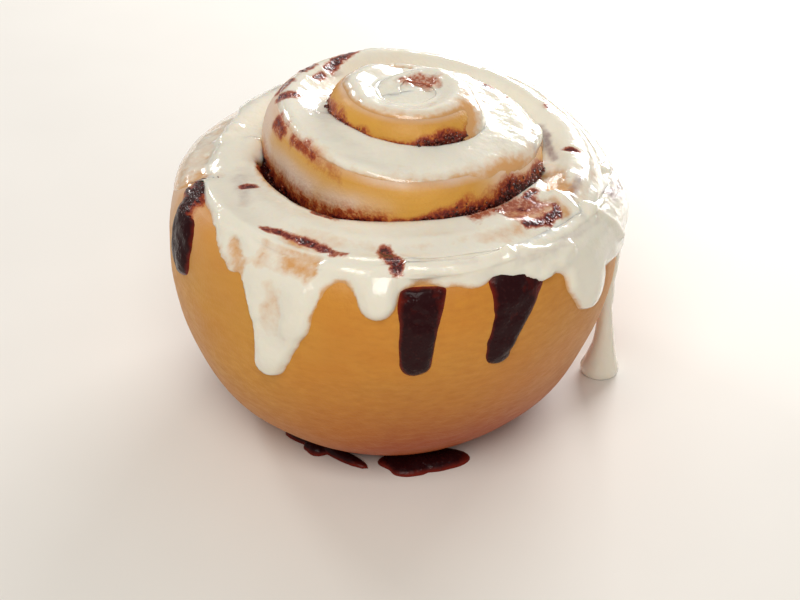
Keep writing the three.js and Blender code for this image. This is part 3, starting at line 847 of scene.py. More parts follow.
class EffectGroups:
    """Shader node groups that more than one finish uses."""

    @staticmethod
    def _start(name: str, numbers: Sequence[tuple[str, float]], outputs: Sequence[str]) -> tuple:
        """Starts a group with number inputs and outputs.

        Args:
            name: name of the group.
            numbers: (input name, usual value).
            outputs: names of the outputs.

        Returns:
            The group, a board for it, its input node and its output node.
        """
        group = bpy.data.node_groups.new(name, "ShaderNodeTree")
        for label, usual in numbers:
            socket = group.interface.new_socket(label, in_out="INPUT", socket_type="NodeSocketFloat")
            socket.default_value = usual
        for label in outputs:
            group.interface.new_socket(label, in_out="OUTPUT", socket_type="NodeSocketFloat")
        start = group.nodes.new("NodeGroupInput")
        end = group.nodes.new("NodeGroupOutput")
        return group, NodeBoard(group), start, end

    @staticmethod
    def mottle() -> bpy.types.NodeTree:
        """Mottling: noise of a size in millimetres, stretched round the roll, whose
        middle band is spread to the full range from 0 to 1."""
        group, board, start, end = EffectGroups._start(
            "mottle", (("Size", 5.0), ("Flatness", 1.0), ("Detail", 3.0), ("Sharpness", 1.0)), ("Mask",)
        )
        place = board.add("TexCoord").outputs["Object"]
        flat = board.add("CombineXYZ", {0: 1.0, 1: 1.0, 2: start.outputs["Flatness"]})
        scaled = board.add("VectorMath", {0: place, 1: flat.outputs[0]}, operation="MULTIPLY").outputs[0]
        per_metre = board.math("DIVIDE", 1000.0, start.outputs["Size"])
        detail = start.outputs["Detail"]
        inputs = {"Vector": scaled, "Scale": per_metre, "Detail": detail, "Roughness": 0.55}
        noise = board.add("TexNoise", inputs)
        away = board.swing(noise.outputs["Fac"])
        spread = board.math("MULTIPLY", away, board.math("MULTIPLY", start.outputs["Sharpness"], 2.2))
        mask = board.math("ADD", spread, 0.5, clamp=True)
        board.tree.links.new(mask, end.inputs["Mask"])
        return group

    @staticmethod
    def grit() -> bpy.types.NodeTree:
        """Grit: a height of round cells of a size in millimetres, shown by a density."""
        group, board, start, end = EffectGroups._start(
            "grit", (("Size", 1.0), ("Density", 0.5)), ("Height",)
        )
        place = board.add("TexCoord").outputs["Object"]
        per_metre = board.math("DIVIDE", 1000.0, start.outputs["Size"])
        cells = board.add("TexVoronoi", {"Vector": place, "Scale": per_metre, "Randomness": 1.0})
        shown = board.add("TexWhiteNoise", {"Vector": cells.outputs["Position"]}, noise_dimensions="3D")
        keep = board.math("LESS_THAN", shown.outputs["Value"], start.outputs["Density"])
        dome = board.math("SUBTRACT", 0.55, cells.outputs["Distance"], clamp=True)
        board.tree.links.new(board.math("MULTIPLY", dome, keep), end.inputs["Height"])
        return group


@dataclass(frozen=True)
class Finish:
    """A finish made of nodes; each kind of finish fills in its own."""

    name: str

    def start(self) -> tuple[bpy.types.Material, NodeBoard, bpy.types.Node]:
        """An empty material, a board for it and its Principled shader."""
        material = bpy.data.materials.new(self.name)
        material.use_nodes = True
        board = NodeBoard(material.node_tree)
        shader = material.node_tree.nodes["Principled BSDF"]
        return material, board, shader

    @staticmethod
    def mask(board: NodeBoard, groups: Groups, **values: float) -> Socket:
        """A mottle group placed in a material with its own values."""
        node = board.add("Group", node_tree=groups["mottle"])
        for label, value in values.items():
            node.inputs[label.capitalize()].default_value = value
        return node.outputs["Mask"]

    @staticmethod
    def ragged(
        board: NodeBoard, share: Socket, coarse: Socket, fine: Socket
    ) -> Socket:
        """A share broken up by two masks, and still nothing where the share is nothing."""
        broken = board.plus(board.math("MULTIPLY", coarse, 0.6), fine, 0.4)
        broken = board.math("ADD", broken, 0.42)
        return board.math("MULTIPLY", share, broken)

    @staticmethod
    def spiced(
        board: NodeBoard, share: Socket, base: Socket, steps: Sequence[tuple]
    ) -> Socket:
        """The base colour, then three steps of cinnamon as the share grows."""
        colour = base
        for (low, high), step in zip(((0.06, 0.40), (0.30, 0.72), (0.74, 1.30)), steps):
            colour = board.blend(board.ramp(share, ((low, 0.0), (high, 1.0))), colour, step)
        return colour


@dataclass(frozen=True)
class DoughFinish(Finish):
    """Baked dough: a golden crust that browns towards the foot, pale crumb where it was
    never against the heat, and dark cinnamon filling along the creases."""

    name: str = "baked_dough"
    gold: tuple = rgb(206, 133, 42)
    honey: tuple = rgb(216, 154, 58)
    brown: tuple = rgb(166, 76, 22)
    pale: tuple = rgb(228, 182, 84)
    film: tuple = rgb(231, 207, 189)
    tawny: tuple = rgb(180, 88, 38)
    maroon: tuple = rgb(122, 36, 24)
    filling: tuple = rgb(54, 15, 13)
    toast: tuple = rgb(150, 84, 34)

    def build(self, groups: Groups) -> bpy.types.Material:
        """Makes the material.

        Args:
            groups: the shared effect groups by name.

        Returns:
            The material.
        """
        material, board, shader = self.start()
        broad = self.mask(board, groups, size=26.0, flatness=1.4, detail=2.0, sharpness=1.0)
        fine = self.mask(board, groups, size=3.2, flatness=2.6, detail=5.0, sharpness=1.2)
        speck = self.mask(board, groups, size=0.7, flatness=1.0, detail=2.0, sharpness=2.4)
        clump = self.mask(board, groups, size=1.8, flatness=1.0, detail=3.0, sharpness=1.4)
        crust = board.blend(broad, self.gold, self.honey)
        bake = board.plus(board.value_of("bake"), board.swing(broad), 0.25)
        bake = board.plus(bake, board.swing(fine), 0.16, clamp=True)
        crust = board.blend(bake, crust, self.brown)
        crust = board.blend(board.math("MULTIPLY", fine, 0.07), crust, self.toast)
        crust = board.blend(board.value_of("pale"), crust, self.pale)
        milky = board.math("MULTIPLY", board.value_of("film"), 0.9, clamp=True)
        crust = board.blend(milky, crust, self.film)
        # In the deep gap the filling share reaches the darkest colour, painted shade as well as filling.
        fill = self.ragged(board, board.value_of("fill"), clump, speck)
        colour = self.spiced(board, fill, crust, (self.tawny, self.maroon, self.filling))
        height = board.plus(board.math("MULTIPLY", speck, 0.45), fine, 0.07)
        height = board.plus(height, board.math("MULTIPLY", speck, fill), 2.6)
        board.feed(shader, {
            "Base Color": colour,
            "Roughness": board.plus(board.plus(0.44, fine, 0.14), fill, -0.24),
            "Normal": board.bump(height, 0.30, 0.00025),
            "Subsurface Weight": 0.12,
            "Subsurface Radius": (1.0, 0.45, 0.2),
            "Subsurface Scale": 0.003,
            "Specular IOR Level": 0.35,
            "Coat Weight": 0.08,
            "Coat Roughness": 0.25,
        })
        return material


@dataclass(frozen=True)
class IcingFinish(Finish):
    """Poured icing: creamy white where it lies thick, a tawny glaze where it is thin."""

    name: str = "poured_icing"
    cream: tuple = rgb(239, 233, 217)
    milky: tuple = rgb(231, 208, 182)
    glaze: tuple = rgb(220, 166, 106)
    # Violet grey of cinnamon under the icing, also used as painted shade along a groove and the front fold.
    stain: tuple = rgb(138, 104, 112)
    tawny: tuple = rgb(192, 118, 86)
    maroon: tuple = rgb(128, 40, 32)
    spice: tuple = rgb(70, 18, 16)

    def build(self, groups: Groups) -> bpy.types.Material:
        """Makes the material.

        Args:
            groups: the shared effect groups by name.

        Returns:
            The material.
        """
        material, board, shader = self.start()
        soft = self.mask(board, groups, size=7.0, flatness=1.0, detail=3.0, sharpness=1.1)
        fine = self.mask(board, groups, size=1.6, flatness=1.0, detail=3.0, sharpness=1.0)
        speck = self.mask(board, groups, size=0.7, flatness=1.0, detail=2.0, sharpness=2.0)
        patchy = board.plus(board.math("MULTIPLY", soft, 0.5), fine, 0.35)
        depth = board.math("ADD", board.value_of("depth"), board.math("SUBTRACT", patchy, 0.42))
        colour = board.blend(board.ramp(depth, ((0.12, 0.0), (0.55, 1.0))), self.glaze, self.milky)
        colour = board.blend(board.ramp(depth, ((0.45, 0.0), (1.0, 1.0))), colour, self.cream)
        # Dull violet of cinnamon under the icing, partly painted shade along the front-right groove and the
        # front fold.
        stain = board.value_of("stain")
        dull_and_shade = board.plus(stain, board.swing(fine), 0.5)
        dull_and_shade = board.math("MULTIPLY", dull_and_shade, board.math("MULTIPLY", stain, 0.9), clamp=True)
        colour = board.blend(dull_and_shade, colour, self.stain)
        spice = self.ragged(board, board.value_of("spice"), fine, speck)
        colour = self.spiced(board, spice, colour, (self.tawny, self.maroon, self.spice))
        height = board.plus(board.plus(soft, fine, 0.22), spice, 1.4)
        board.feed(shader, {
            "Base Color": colour,
            "Roughness": board.plus(0.10, fine, 0.14),
            "Normal": board.bump(height, 0.35, 0.0005),
            "Subsurface Weight": 0.45,
            "Subsurface Radius": (1.0, 0.75, 0.5),
            "Subsurface Scale": 0.0016,
            "Coat Weight": 0.6,
            "Coat Roughness": 0.06,
        })
        return material


@dataclass(frozen=True)
class SyrupFinish(Finish):
    """Dark cinnamon syrup: nearly black where it is deep, clear red-brown at its edges."""

    name: str = "cinnamon_syrup"
    deep: tuple = rgb(40, 9, 12)
    edge: tuple = rgb(118, 32, 18)
    grain: tuple = rgb(66, 22, 20)

    def build(self, groups: Groups) -> bpy.types.Material:
        """Makes the material.

        Args:
            groups: the shared effect groups by name.

        Returns:
            The material.
        """
        material, board, shader = self.start()
        fine = self.mask(board, groups, size=2.2, flatness=1.0, detail=2.0, sharpness=1.2)
        grit = board.add("Group", {"Size": 0.8, "Density": 0.5}, node_tree=groups["grit"])
        depth = board.plus(board.value_of("depth"), board.swing(fine), 0.3)
        dark = board.ramp(depth, ((0.15, 0.0), (0.85, 1.0)))
        colour = board.blend(dark, self.edge, self.deep)
        grains = board.math("MULTIPLY", board.math("MULTIPLY", grit.outputs[0], 1.3), fine)
        colour = board.blend(grains, colour, self.grain)
        height = board.plus(board.math("MULTIPLY", fine, 0.5), grit.outputs[0], 1.4)
        board.feed(shader, {
            "Base Color": colour,
            "Roughness": board.plus(0.22, fine, 0.2),
            "Normal": board.bump(height, 0.4, 0.0004),
            "Specular IOR Level": 0.10,
            "Coat Weight": 0.08,
            "Coat Roughness": 0.06,
        })
        return material


@dataclass(frozen=True)
class CrumbFinish(Finish):
    """Grains of cinnamon and sugar: dark maroon to bright red-brown, wet."""

    name: str = "cinnamon_grains"
    dark: tuple = rgb(58, 14, 10)
    bright: tuple = rgb(150, 66, 30)
    dusty: tuple = rgb(96, 34, 20)

    def build(self, groups: Groups) -> bpy.types.Material:
        """Makes the material.

        Args:
            groups: the shared effect groups by name.

        Returns:
            The material.
        """
        material, board, shader = self.start()
        fine = self.mask(board, groups, size=0.7, flatness=1.0, detail=2.0, sharpness=1.6)
        colour = board.blend(board.value_of("tone"), self.dark, self.bright)
        board.feed(shader, {
            "Base Color": board.blend(board.math("MULTIPLY", fine, 0.45), colour, self.dusty),
            "Roughness": board.plus(0.22, fine, 0.2),
            "Coat Weight": 0.5,
            "Coat Roughness": 0.1,
        })
        return material


@dataclass(frozen=True)
class FloorFinish(Finish):
    """Plain pale floor."""

    name: str = "pale_floor"
    shade: tuple = (0.80, 0.77, 0.72, 1)
    light: tuple = (0.83, 0.80, 0.75, 1)

    def build(self, groups: Groups) -> bpy.types.Material:
        """Makes the material.

        Args:
            groups: the shared effect groups by name.

        Returns:
            The material.
        """
        material, board, shader = self.start()
        soft = self.mask(board, groups, size=60.0, flatness=1.0, detail=2.0, sharpness=1.0)
        board.feed(shader, {"Base Color": board.blend(soft, self.shade, self.light), "Roughness": 0.6})
        return material


# ------------------------------------------------------------------ the pieces


@dataclass
class Piece:
    """A finished object and what it stands for."""

    name: str
    slot: str
    stands_for: tuple[str, ...] = ()

    def settle(self, shell: Shell, material: bpy.types.Material) -> None:
        """Makes the object, rides it on the roll's body and hides what it stands for."""
        made = shell.to_object(self.name, material)
        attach(made, "root")
        if self.stands_for:
            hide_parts(*self.stands_for)
        LOG.info("%s: %d vertices, %d faces", self.name, len(shell.points), len(made.data.polygons))


@dataclass
class BakedDough:
    """The baked roll with its filling."""

    shape: RollShape
    columns: int = 360
    wall_rows: int = 104
    turn_rows: int = 26
    bake: Curve = Curve(((0, 1.0), (6, 0.85), (16, 0.55), (30, 0.25), (44, 0.10), (90, 0.05)))
    # How far up each turn's wall its filling shows, by winding angle.
    filled: Curve = Curve((
        (0, 0.0), (300, 0.04), (348, 0.06), (362, 0.13), (385, 0.12), (400, 0.10), (415, 0.10),
        (432, 0.13), (448, 0.17), (465, 0.21), (492, 0.25), (510, 0.22), (530, 0.10),
        (640, 0.06), (680, 0.16), (705, 0.27), (735, 0.27), (760, 0.20), (790, 0.17),
        (815, 0.22), (845, 0.28), (868, 0.14), (900, 0.05), (1080, 0.05),
    ))
    # A clot of filling that bulges at the strip's end.
    clot: Trail = Trail(4.4, 1.5, ((-43.6, -12.4, 62.2), (-45.6, -14.8, 61.0), (-47.4, -17.4, 58.6)))

    def surface(self) -> tuple[Skin, Shell]:
        """The skin with its lumps, wrinkles and crumbly filling, closed underneath.

        Each vertex moves along its normal by broad lumps everywhere, by wrinkles drawn
        out along the wall, and by coarse grit where there is filling.

        Returns:
            The labelled skin and the closed shell.
        """
        skin = self.shape.skin(self.columns, self.wall_rows, self.turn_rows, 5, 0.0)
        shell = skin.shell
        points, normals = shell.points, shell.normals()
        fill = self.filling(skin)
        drawn_out = points * np.array([0.4, 0.4, 1.0])
        above = smoothstep(2.0, 12.0, points[:, 2])
        move = 0.42 * fractal(points, 24.0, 2, 3) * above
        move += 0.02 * fractal(drawn_out, 5.0, 2, 5) * above
        move += np.clip(fill, 0, 1) * 0.4 * fractal(points, 1.5, 2, 9)
        move += 0.8 * np.clip(total_weight((self.clot,), points, 2.4, 33), 0, 1)
        shell.points = points + normals * move[:, None]
        shell.points[skin.wall_index[:, 0], 2] = 0.0
        shell.values = {
            "bake": self.browning(skin),
            "fill": fill,
            "pale": self.paleness(skin),
            "film": self.film(skin),
        }
        return skin, self.closed(skin, shell)

    def browning(self, skin: Skin) -> Array:
        """How brown the crust is: more towards the foot and in front, less at the left."""
        points = skin.shell.points
        front = 1 + 0.7 * bell(turn_between(skin.azimuth, 282), 36)
        left = 0.28 * bell(turn_between(skin.azimuth, 222), 26)
        return self.bake.at(points[:, 2]) * front - left + 0.10 * fractal(points, 30.0, 2, 12)

    def filling(self, skin: Skin) -> Array:
        """Share of filling at each vertex: a ragged band up the foot of each turn's wall, the inside of the
        deep gap, and the stains. In the deep gap the share is pushed to the darkest filling colour, which
        also paints the shade there."""
        points = skin.shell.points
        ragged = 1 + 0.3 * fractal(points, 5.0, 2, 21)
        height = np.maximum(self.filled.at(skin.angle) * ragged, 1e-3)
        inner_turns = (skin.region == Region.TURN.value) * (skin.angle > 20)
        foot = 1.1 * (1 - smoothstep(0.40, 1.40, skin.across / height)) * inner_turns
        near = bell(skin.to_crease, 0.13 + 0.07 * (skin.across > 0.5))
        opened = smoothstep(0.5, 2.0, self.shape.sink(skin.crease_angle))
        # Painted shade: near the deep gap the share goes past 1, to the darkest filling colour, standing for
        # the shade in the gap as well as the filling.
        gap = near * opened * (skin.region != Region.WALL.value)
        fill = np.maximum(foot, 1.6 * gap) * (1 - smoothstep(1000, 1100, skin.angle))
        return np.clip(fill + total_weight(SPICE + (self.clot,), points, 2.4, 33), 0, 1.5)

    def paleness(self, skin: Skin) -> Array:
        """How pale the crumb is: the walls between turns are paler than the crust."""
        wall_of_turn = (skin.region == Region.TURN.value) * (1 - smoothstep(0.30, 0.5, skin.across))
        return 0.42 * wall_of_turn

    def film(self, skin: Skin) -> Array:
        """Share of the milky film of icing: on the second turn's foot, its left side and
        its upper part, low on the outside wall's left shoulder, and on its right side."""
        points, across, angle = skin.shell.points, skin.across, skin.angle
        turn = skin.region == Region.TURN.value
        foot = bell(across - 0.22, 0.07) * plateau((325, 345), (405, 440), angle)
        side = smoothstep(0.10, 0.30, across) * plateau((316, 330), (350, 368), angle)
        lip = 0.6 * smoothstep(0.33, 0.42, across) * smoothstep(300, 350, angle)
        right = 0.8 * smoothstep(0.16, 0.30, across) * plateau((462, 490), (570, 600), angle)
        wall = smoothstep(44, 58, points[:, 2]) * bell(turn_between(skin.azimuth, 168), 32) * (angle < 40)
        milky = np.where(turn, np.maximum(np.maximum(foot, side), np.maximum(lip, right)), 0.0)
        return np.clip(np.maximum(milky, wall) * (0.9 + 0.4 * fractal(points, 6.0, 2, 25)), 0, 1)

    def closed(self, skin: Skin, shell: Shell) -> Shell:
        """The shell with its flat underside: rings that shrink to the middle."""
        edge = skin.wall_index[:, 0]
        rings = 8
        shrink = 1 - np.arange(1, rings)[:, None, None] / rings
        disc = shell.points[edge][None] * shrink
        start = len(shell.points)
        index = start + np.arange(disc[..., 0].size).reshape(disc.shape[:2])
        index = np.vstack([edge[None], index])
        index = np.hstack([index, index[:, :1]])
        middle = start + disc[..., 0].size
        last = index[-1]
        fan = np.stack([last[1:], last[:-1], np.full(len(edge), middle)], axis=-1)
        points = np.vstack([shell.points, disc.reshape(-1, 3), np.zeros((1, 3))])
        extra = len(points) - start
        values = {
            name: np.concatenate([value, np.full(extra, 1.0 if name == "bake" else 0.0)])
            for name, value in shell.values.items()
        }
        quads = np.vstack([shell.quads, grid_quads(index)])
        return Shell(points, quads, np.vstack([shell.triangles, fan]), values)


@dataclass
class PouredIcing:
    """The icing: a coat over the top that runs down the wall in drips."""

    shape: RollShape
    columns: int = 400
    wall_rows: int = 46
    turn_rows: int = 27
    low: float = 0.50
    thick: float = 1.7
    lining_depth: float = 1.8
    rounds: int = 24
    edge: Curve = Curve(
        (
            (0, 45.5), (20, 46.0), (45, 53.0), (70, 52.0), (95, 55.0), (125, 52.5), (150, 51.5),
            (170, 53.0), (184, 55.5), (190, 59.0), (196, 63.0), (209, 63.0), (214, 61.0),
            (219, 58.6), (225, 56.4), (231, 56.0), (240, 56.0), (251, 58.2), (255.5, 59.4),
            (260, 59.0), (270, 59.4), (284, 59.0), (300, 57.8), (306, 56.4), (310, 56.6),
            (316, 54.0), (326, 51.5), (335, 47.5), (348, 45.5),
        ),
        period=360.0,
    )
    # Each drip: rows of (azimuth, height, half width) from its root to its tip.
    drips: tuple[tuple[tuple[float, float, float], ...], ...] = (
        ((240.4, 56.0, 10.2), (240.8, 51.5, 8.0), (240.2, 46.5, 6.1), (239.2, 41.5, 4.8),
         (238.4, 38.4, 4.1)),
        ((264.0, 61.0, 5.6), (264.6, 57.6, 4.5)),
        ((321.0, 54.0, 7.4), (323.5, 48.4, 6.2)),
        ((70.0, 54.0, 5.5), (70.5, 44.0, 3.6), (71.0, 38.6, 3.0)),
        ((126.0, 55.0, 5.0), (125.0, 49.0, 3.0)),
        ((20.0, 50.0, 6.0), (21.0, 43.0, 3.4), (21.5, 38.0, 2.6)),
    )
    # On the left the icing stops at this distance from the axis, by azimuth; past it the
    # dough has only a glaze, whose depth is the second curve.
    bank: Curve = Curve(
        (
            (0, 70.0), (128, 70.0), (140, 50.0), (152, 44.0), (165, 42.0), (176, 42.6),
            (184, 43.8), (193, 45.2), (201, 46.3), (213, 48.9), (217, 50.4), (221, 54.0),
            (228, 70.0),
        ),
        period=360.0,
    )
    glazed: Curve = Curve(
        ((0, 0.7), (172, 0.62), (182, 0.42), (190, 0.0), (197, -0.8), (209, -0.8), (215, -0.2), (222, 0.3)),
        period=360.0,
    )
    cover: Curve = Curve((
        (0, 1.0), (200, 1.0), (230, 0.55), (290, 0.40), (335, 0.15), (350, 0.0), (462, 0.0),
        (478, 0.50), (505, 0.62), (530, 0.9), (590, 1.0), (640, 0.5), (690, 0.2), (712, 0.0),
        (838, 0.0), (862, 0.5), (890, 1.0), (1000, 1.0), (1440, 1.0),
    ))
    fill: Curve = Curve((
        (0, 1.0), (335, 1.0), (352, 0.0),
        (500, 0.0), (522, 0.9), (1440, 1.0),
    ))
    bare_wall: Curve = Curve((
        (0.0, 1.8), (0.04, 0.9), (0.08, -0.2), (0.14, -0.8), (0.34, -0.8), (0.40, -0.25),
        (0.45, 0.60), (0.53, 1.10), (0.62, 1.40), (0.80, 1.9), (0.93, 2.3), (1.0, 1.8),
    ))
    iced_wall: Curve = Curve((
        (0.0, 1.9), (0.15, 1.3), (0.33, 0.9), (0.42, 1.0), (0.50, 1.2), (0.62, 1.4),
        (0.80, 1.8), (0.93, 2.1), (1.0, 1.9),
    ))

    def on_wall(self, azimuth: Array, height: Array) -> Array:
        """Depth of icing on the wall: from the distance inside the union of the coat's
        lower edge and the drips, rising from the edge to a rounded bead and then level.

        Args:
            azimuth: azimuths in degrees.
            height: heights above the ground.

        Returns:
            Depths, negative where the wall is bare.
        """
        a = np.radians(azimuth)
        around = np.stack([50 * np.cos(a), 50 * np.sin(a), height], axis=-1)
        outside = (self.edge.at(azimuth) - height) * 0.8 + 0.6 * fractal(around, 5.0, 2, 45)
        tips = np.zeros_like(height)
        for drip in self.drips:
            middle = drip[0][0]
            x = turn_between(azimuth, middle) * MM_PER_DEGREE
            stroke = [((a - middle) * MM_PER_DEGREE, z, r) for a, z, r in drip]
            away = stroke_distance(x, height, stroke)
            outside = soft_least(outside, away, 1.6)
            tip_x, tip_z, _ = stroke[-1]
            tips += bell(np.hypot(x - tip_x, (height - tip_z) * 0.7), 4.0) * (away < 1.5)
        thick = self.thick * (1 - 0.35 * bell(turn_between(azimuth, 5), 40))
        ramp = 1.0 + 5.0 * bell(turn_between(azimuth, 172), 26)
        body = thick * (1 - np.exp(-np.maximum(-outside, 0) / ramp))
        bead = 0.35 * bell(outside + 1.7, 1.0) / ramp
        inside = body + bead + 0.9 * tips * (1 - np.exp(-np.maximum(-outside, 0) / 1.3))
        return np.where(outside > 0, -np.minimum(outside * 1.4, 1.0), inside)

    def depth(self, skin: Skin) -> Array:
        """Depth of icing at each vertex of a skin, negative where the dough is bare."""
        points = skin.shell.points
        wall = self.on_wall(skin.azimuth, points[:, 2])
        wander = 14 * fractal(points, 9.0, 2, 41)
        cover = self.cover.at(skin.angle + wander)
        turn = self.bare_wall.at(skin.across) * (1 - cover) + self.iced_wall.at(skin.across) * cover
        crease_angle, to_crease = skin.crease_angle, skin.to_crease
        gap = smoothstep(1.5, 4.0, self.shape.sink(crease_angle))
        shortage = (1 - self.fill.at(crease_angle)) * bell(to_crease, 0.08 + 0.11 * gap)
        shortage = shortage * (1 + 0.4 * gap)
        flooded = 0.5 * bell(to_crease, 0.14) * (1 - smoothstep(70, 120, crease_angle))
        core = smoothstep(1060, 1100, skin.angle)
        turn = (turn - 3.6 * shortage) * (1 - core) + 1.6 * core
        turn = turn + flooded * (skin.across < 0.5)
        banded = plateau((440, 468), (515, 545), skin.angle)
        turn = turn - 3.2 * banded * (1 - smoothstep(0.16, 0.32, skin.across))
        ring = 1.9 - 3.6 * shortage * (skin.across > 0.5) + flooded * (skin.across > 0.5)
        top = np.where(skin.region == Region.TURN.value, turn, ring)
        join = smoothstep(0.0, 0.35, skin.across)
        eased = np.maximum(wall, 1.4 * (skin.azimuth > 205)) * (1 - join) + top * join
        top = np.where(skin.region == Region.RING.value, eased, top)
        depth = np.where(skin.region == Region.WALL.value, wall, top)
        swell = 0.30 * fractal(points, 9.0, 2, 51) + 0.10 * fractal(points, 3.2, 2, 57)
        depth = depth + swell * smoothstep(0.0, 0.8, depth)
        reach = np.hypot(points[:, 0], points[:, 1]) + 0.8 * fractal(points, 6.0, 2, 63)
        beyond = smoothstep(-0.9, 0.7, reach - self.bank.at(skin.azimuth))
        glaze = self.glazed.at(skin.azimuth) + 0.22 * fractal(points, 5.0, 3, 67)
        depth = np.minimum(depth, depth * (1 - beyond) + glaze * beyond)
        thinned = depth - total_weight(THIN, points, 3.0, 61)
        beaded = total_weight(BEADS, points, 4.0, 65) * smoothstep(0.2, 0.8, depth)
        return np.maximum(thinned, np.minimum(depth, 0.30)) + beaded

    def melted(self, skin: Skin, depth: Array) -> Array:
        """How freely the icing has levelled itself at each vertex: over the left
        shoulder and the outermost ring there, not near its edges or the deep gap."""
        ring = (skin.region == Region.RING.value).astype(float)
        first = (skin.region == Region.TURN.value) * (1 - smoothstep(60, 120, skin.angle))
        first = first * (1 - smoothstep(0.40, 0.55, skin.across))
        shoulder = (skin.region == Region.WALL.value) * smoothstep(0.86, 0.93, skin.share)
        deep = smoothstep(0.0, 0.8, self.shape.sink(skin.crease_angle))
        lip = deep * bell(skin.across - 0.76, 0.09)
        left = 1 - smoothstep(30, 46, np.abs(turn_between(skin.azimuth, 222)))
        level = 0.6 * (ring * (1 - deep) + first + shoulder) * left
        return (level + 0.3 * lip) * smoothstep(0.4, 1.2, depth)

    def surface(self) -> Shell:
        """The coat as a closed shell: the skin moved out by the depth of icing, and a
        coarse lining moved inwards, joined along their lower edges.

        Returns:
            The shell.
        """
        outer = self.shape.skin(self.columns, self.wall_rows, self.turn_rows, 6, self.low)
        depth = self.depth(outer)
        way = outer.shell.normals()
        shell = outer.shell
        # Dull violet of cinnamon under the icing, partly painted shade along the front-right groove and the
        # front fold.
        dull_and_shade = total_weight(DULL_AND_SHADE, shell.points, 2.4, 71)
        spice = total_weight(SPICE, shell.points, 2.0, 73)
        depth = depth - 0.4 * np.clip(spice, 0, 1) * smoothstep(0.5, 0.9, depth)
        shell.points = shell.points + way * depth[:, None]
        shell.points = shell.relaxed(self.melted(outer, depth), self.rounds)
        shell.values = {"depth": depth, "stain": np.clip(dull_and_shade, 0, 1), "spice": np.clip(spice, 0, 1)}
        lining = self.shape.skin(self.columns, 6, 14, 2, self.low)
        inside = lining.shell
        inside.points = inside.points - inside.normals() * self.lining_depth
        inside.quads = inside.quads[:, ::-1]
        inside.triangles = inside.triangles[:, ::-1]
        start = len(shell.points)
        band = np.stack([start + lining.wall_index[:, 0], outer.wall_index[:, 0]], axis=1)
        band = np.vstack([band, band[:1]])
        joined = shell.joined(inside)
        joined.quads = np.vstack([joined.quads, grid_quads(band)])
        return joined


@dataclass
class Loft:
    """A closed tube of changing section along a line of rings.

    Attributes:
        rings: rows of (centre x, y, z, half size outwards, half size along the wall).
        turn: azimuth that the rings' outward direction faces.
        sides: vertices round a ring.
        fine: rings worked out between each two given ones.
    """

    rings: tuple[tuple[float, float, float, float, float], ...]
    turn: float
    sides: int = 40
    fine: int = 10

    def surface(self) -> Shell:
        """Rings of ellipses, their sizes eased between the given ones, closed by shrinking
        the end rings to their centres.

        Returns:
            The shell.
        """
        rows = np.array(self.rings)
        knots = np.arange(len(rows), dtype=float)
        at = np.linspace(0, len(rows) - 1, (len(rows) - 1) * self.fine + 1)
        line = np.stack([Curve(tuple(zip(knots, rows[:, n]))).at(at) for n in range(5)], axis=1)
        a = np.arange(self.sides) * 2 * np.pi / self.sides
        t = math.radians(self.turn)
        out = np.array([math.cos(t), math.sin(t), 0.0])
        aside = np.array([-math.sin(t), math.cos(t), 0.0])
        spread = np.cos(a)[None, :, None] * out * line[:, None, 3:4]
        spread = spread + np.sin(a)[None, :, None] * aside * line[:, None, 4:5]
        tube = line[:, None, :3] + spread
        caps = (0.66, 0.33)
        low = np.stack([line[0, :3] + spread[0] * c for c in caps[::-1]])
        high = np.stack([line[-1, :3] + spread[-1] * c for c in caps])
        tube = np.concatenate([low, tube, high])
        index = np.arange(tube[..., 0].size).reshape(tube.shape[:2])
        closed = np.hstack([index, index[:, :1]])
        count = tube[..., 0].size
        bottom = np.stack([closed[0, 1:], closed[0, :-1], np.full(self.sides, count)], axis=-1)
        top = np.stack([closed[-1, :-1], closed[-1, 1:], np.full(self.sides, count + 1)], axis=-1)
        points = np.vstack([tube.reshape(-1, 3), line[:1, :3], line[-1:, :3]])
        return Shell(points, grid_quads(closed.T), np.vstack([bottom, top]))


@dataclass
class IcingStream:
    """The stream on the right that leaves the wall and stands on the ground."""

    azimuth: float = 0.5
    # Rows of (radius, height, half size outwards, half size along the wall).
    rows: tuple[tuple[float, float, float, float], ...] = (
        (50.2, 0.0, 4.1, 4.0), (50.2, 0.6, 4.7, 4.5), (50.2, 1.8, 4.8, 4.6), (50.3, 3.6, 4.2, 4.1),
        (50.5, 6.5, 3.3, 3.2), (50.7, 10.0, 2.7, 2.6), (50.6, 15.0, 2.0, 2.1), (50.5, 19.0, 1.7, 1.9),
        (50.4, 25.0, 1.7, 2.2), (51.1, 31.0, 1.5, 3.0), (51.6, 38.0, 1.4, 4.0), (51.7, 44.0, 1.2, 4.6),
        (51.2, 48.0, 1.0, 5.0),
    )

    def surface(self) -> Shell:
        """The stream as a loft of ellipses from its spread foot up to the coat."""
        a = math.radians(self.azimuth)
        rings = tuple((r * math.cos(a), r * math.sin(a), z, out, along) for r, z, out, along in self.rows)
        shell = Loft(rings, self.azimuth).surface()
        wave = 0.22 * fractal(shell.points, 5.0, 2, 81) * smoothstep(0.5, 3.0, shell.points[:, 2])
        shell.points = shell.points + shell.normals() * wave[:, None]
        none = np.zeros(len(shell.points))
        shell.values = {"depth": none + 1.6, "stain": none, "spice": none}
        return shell


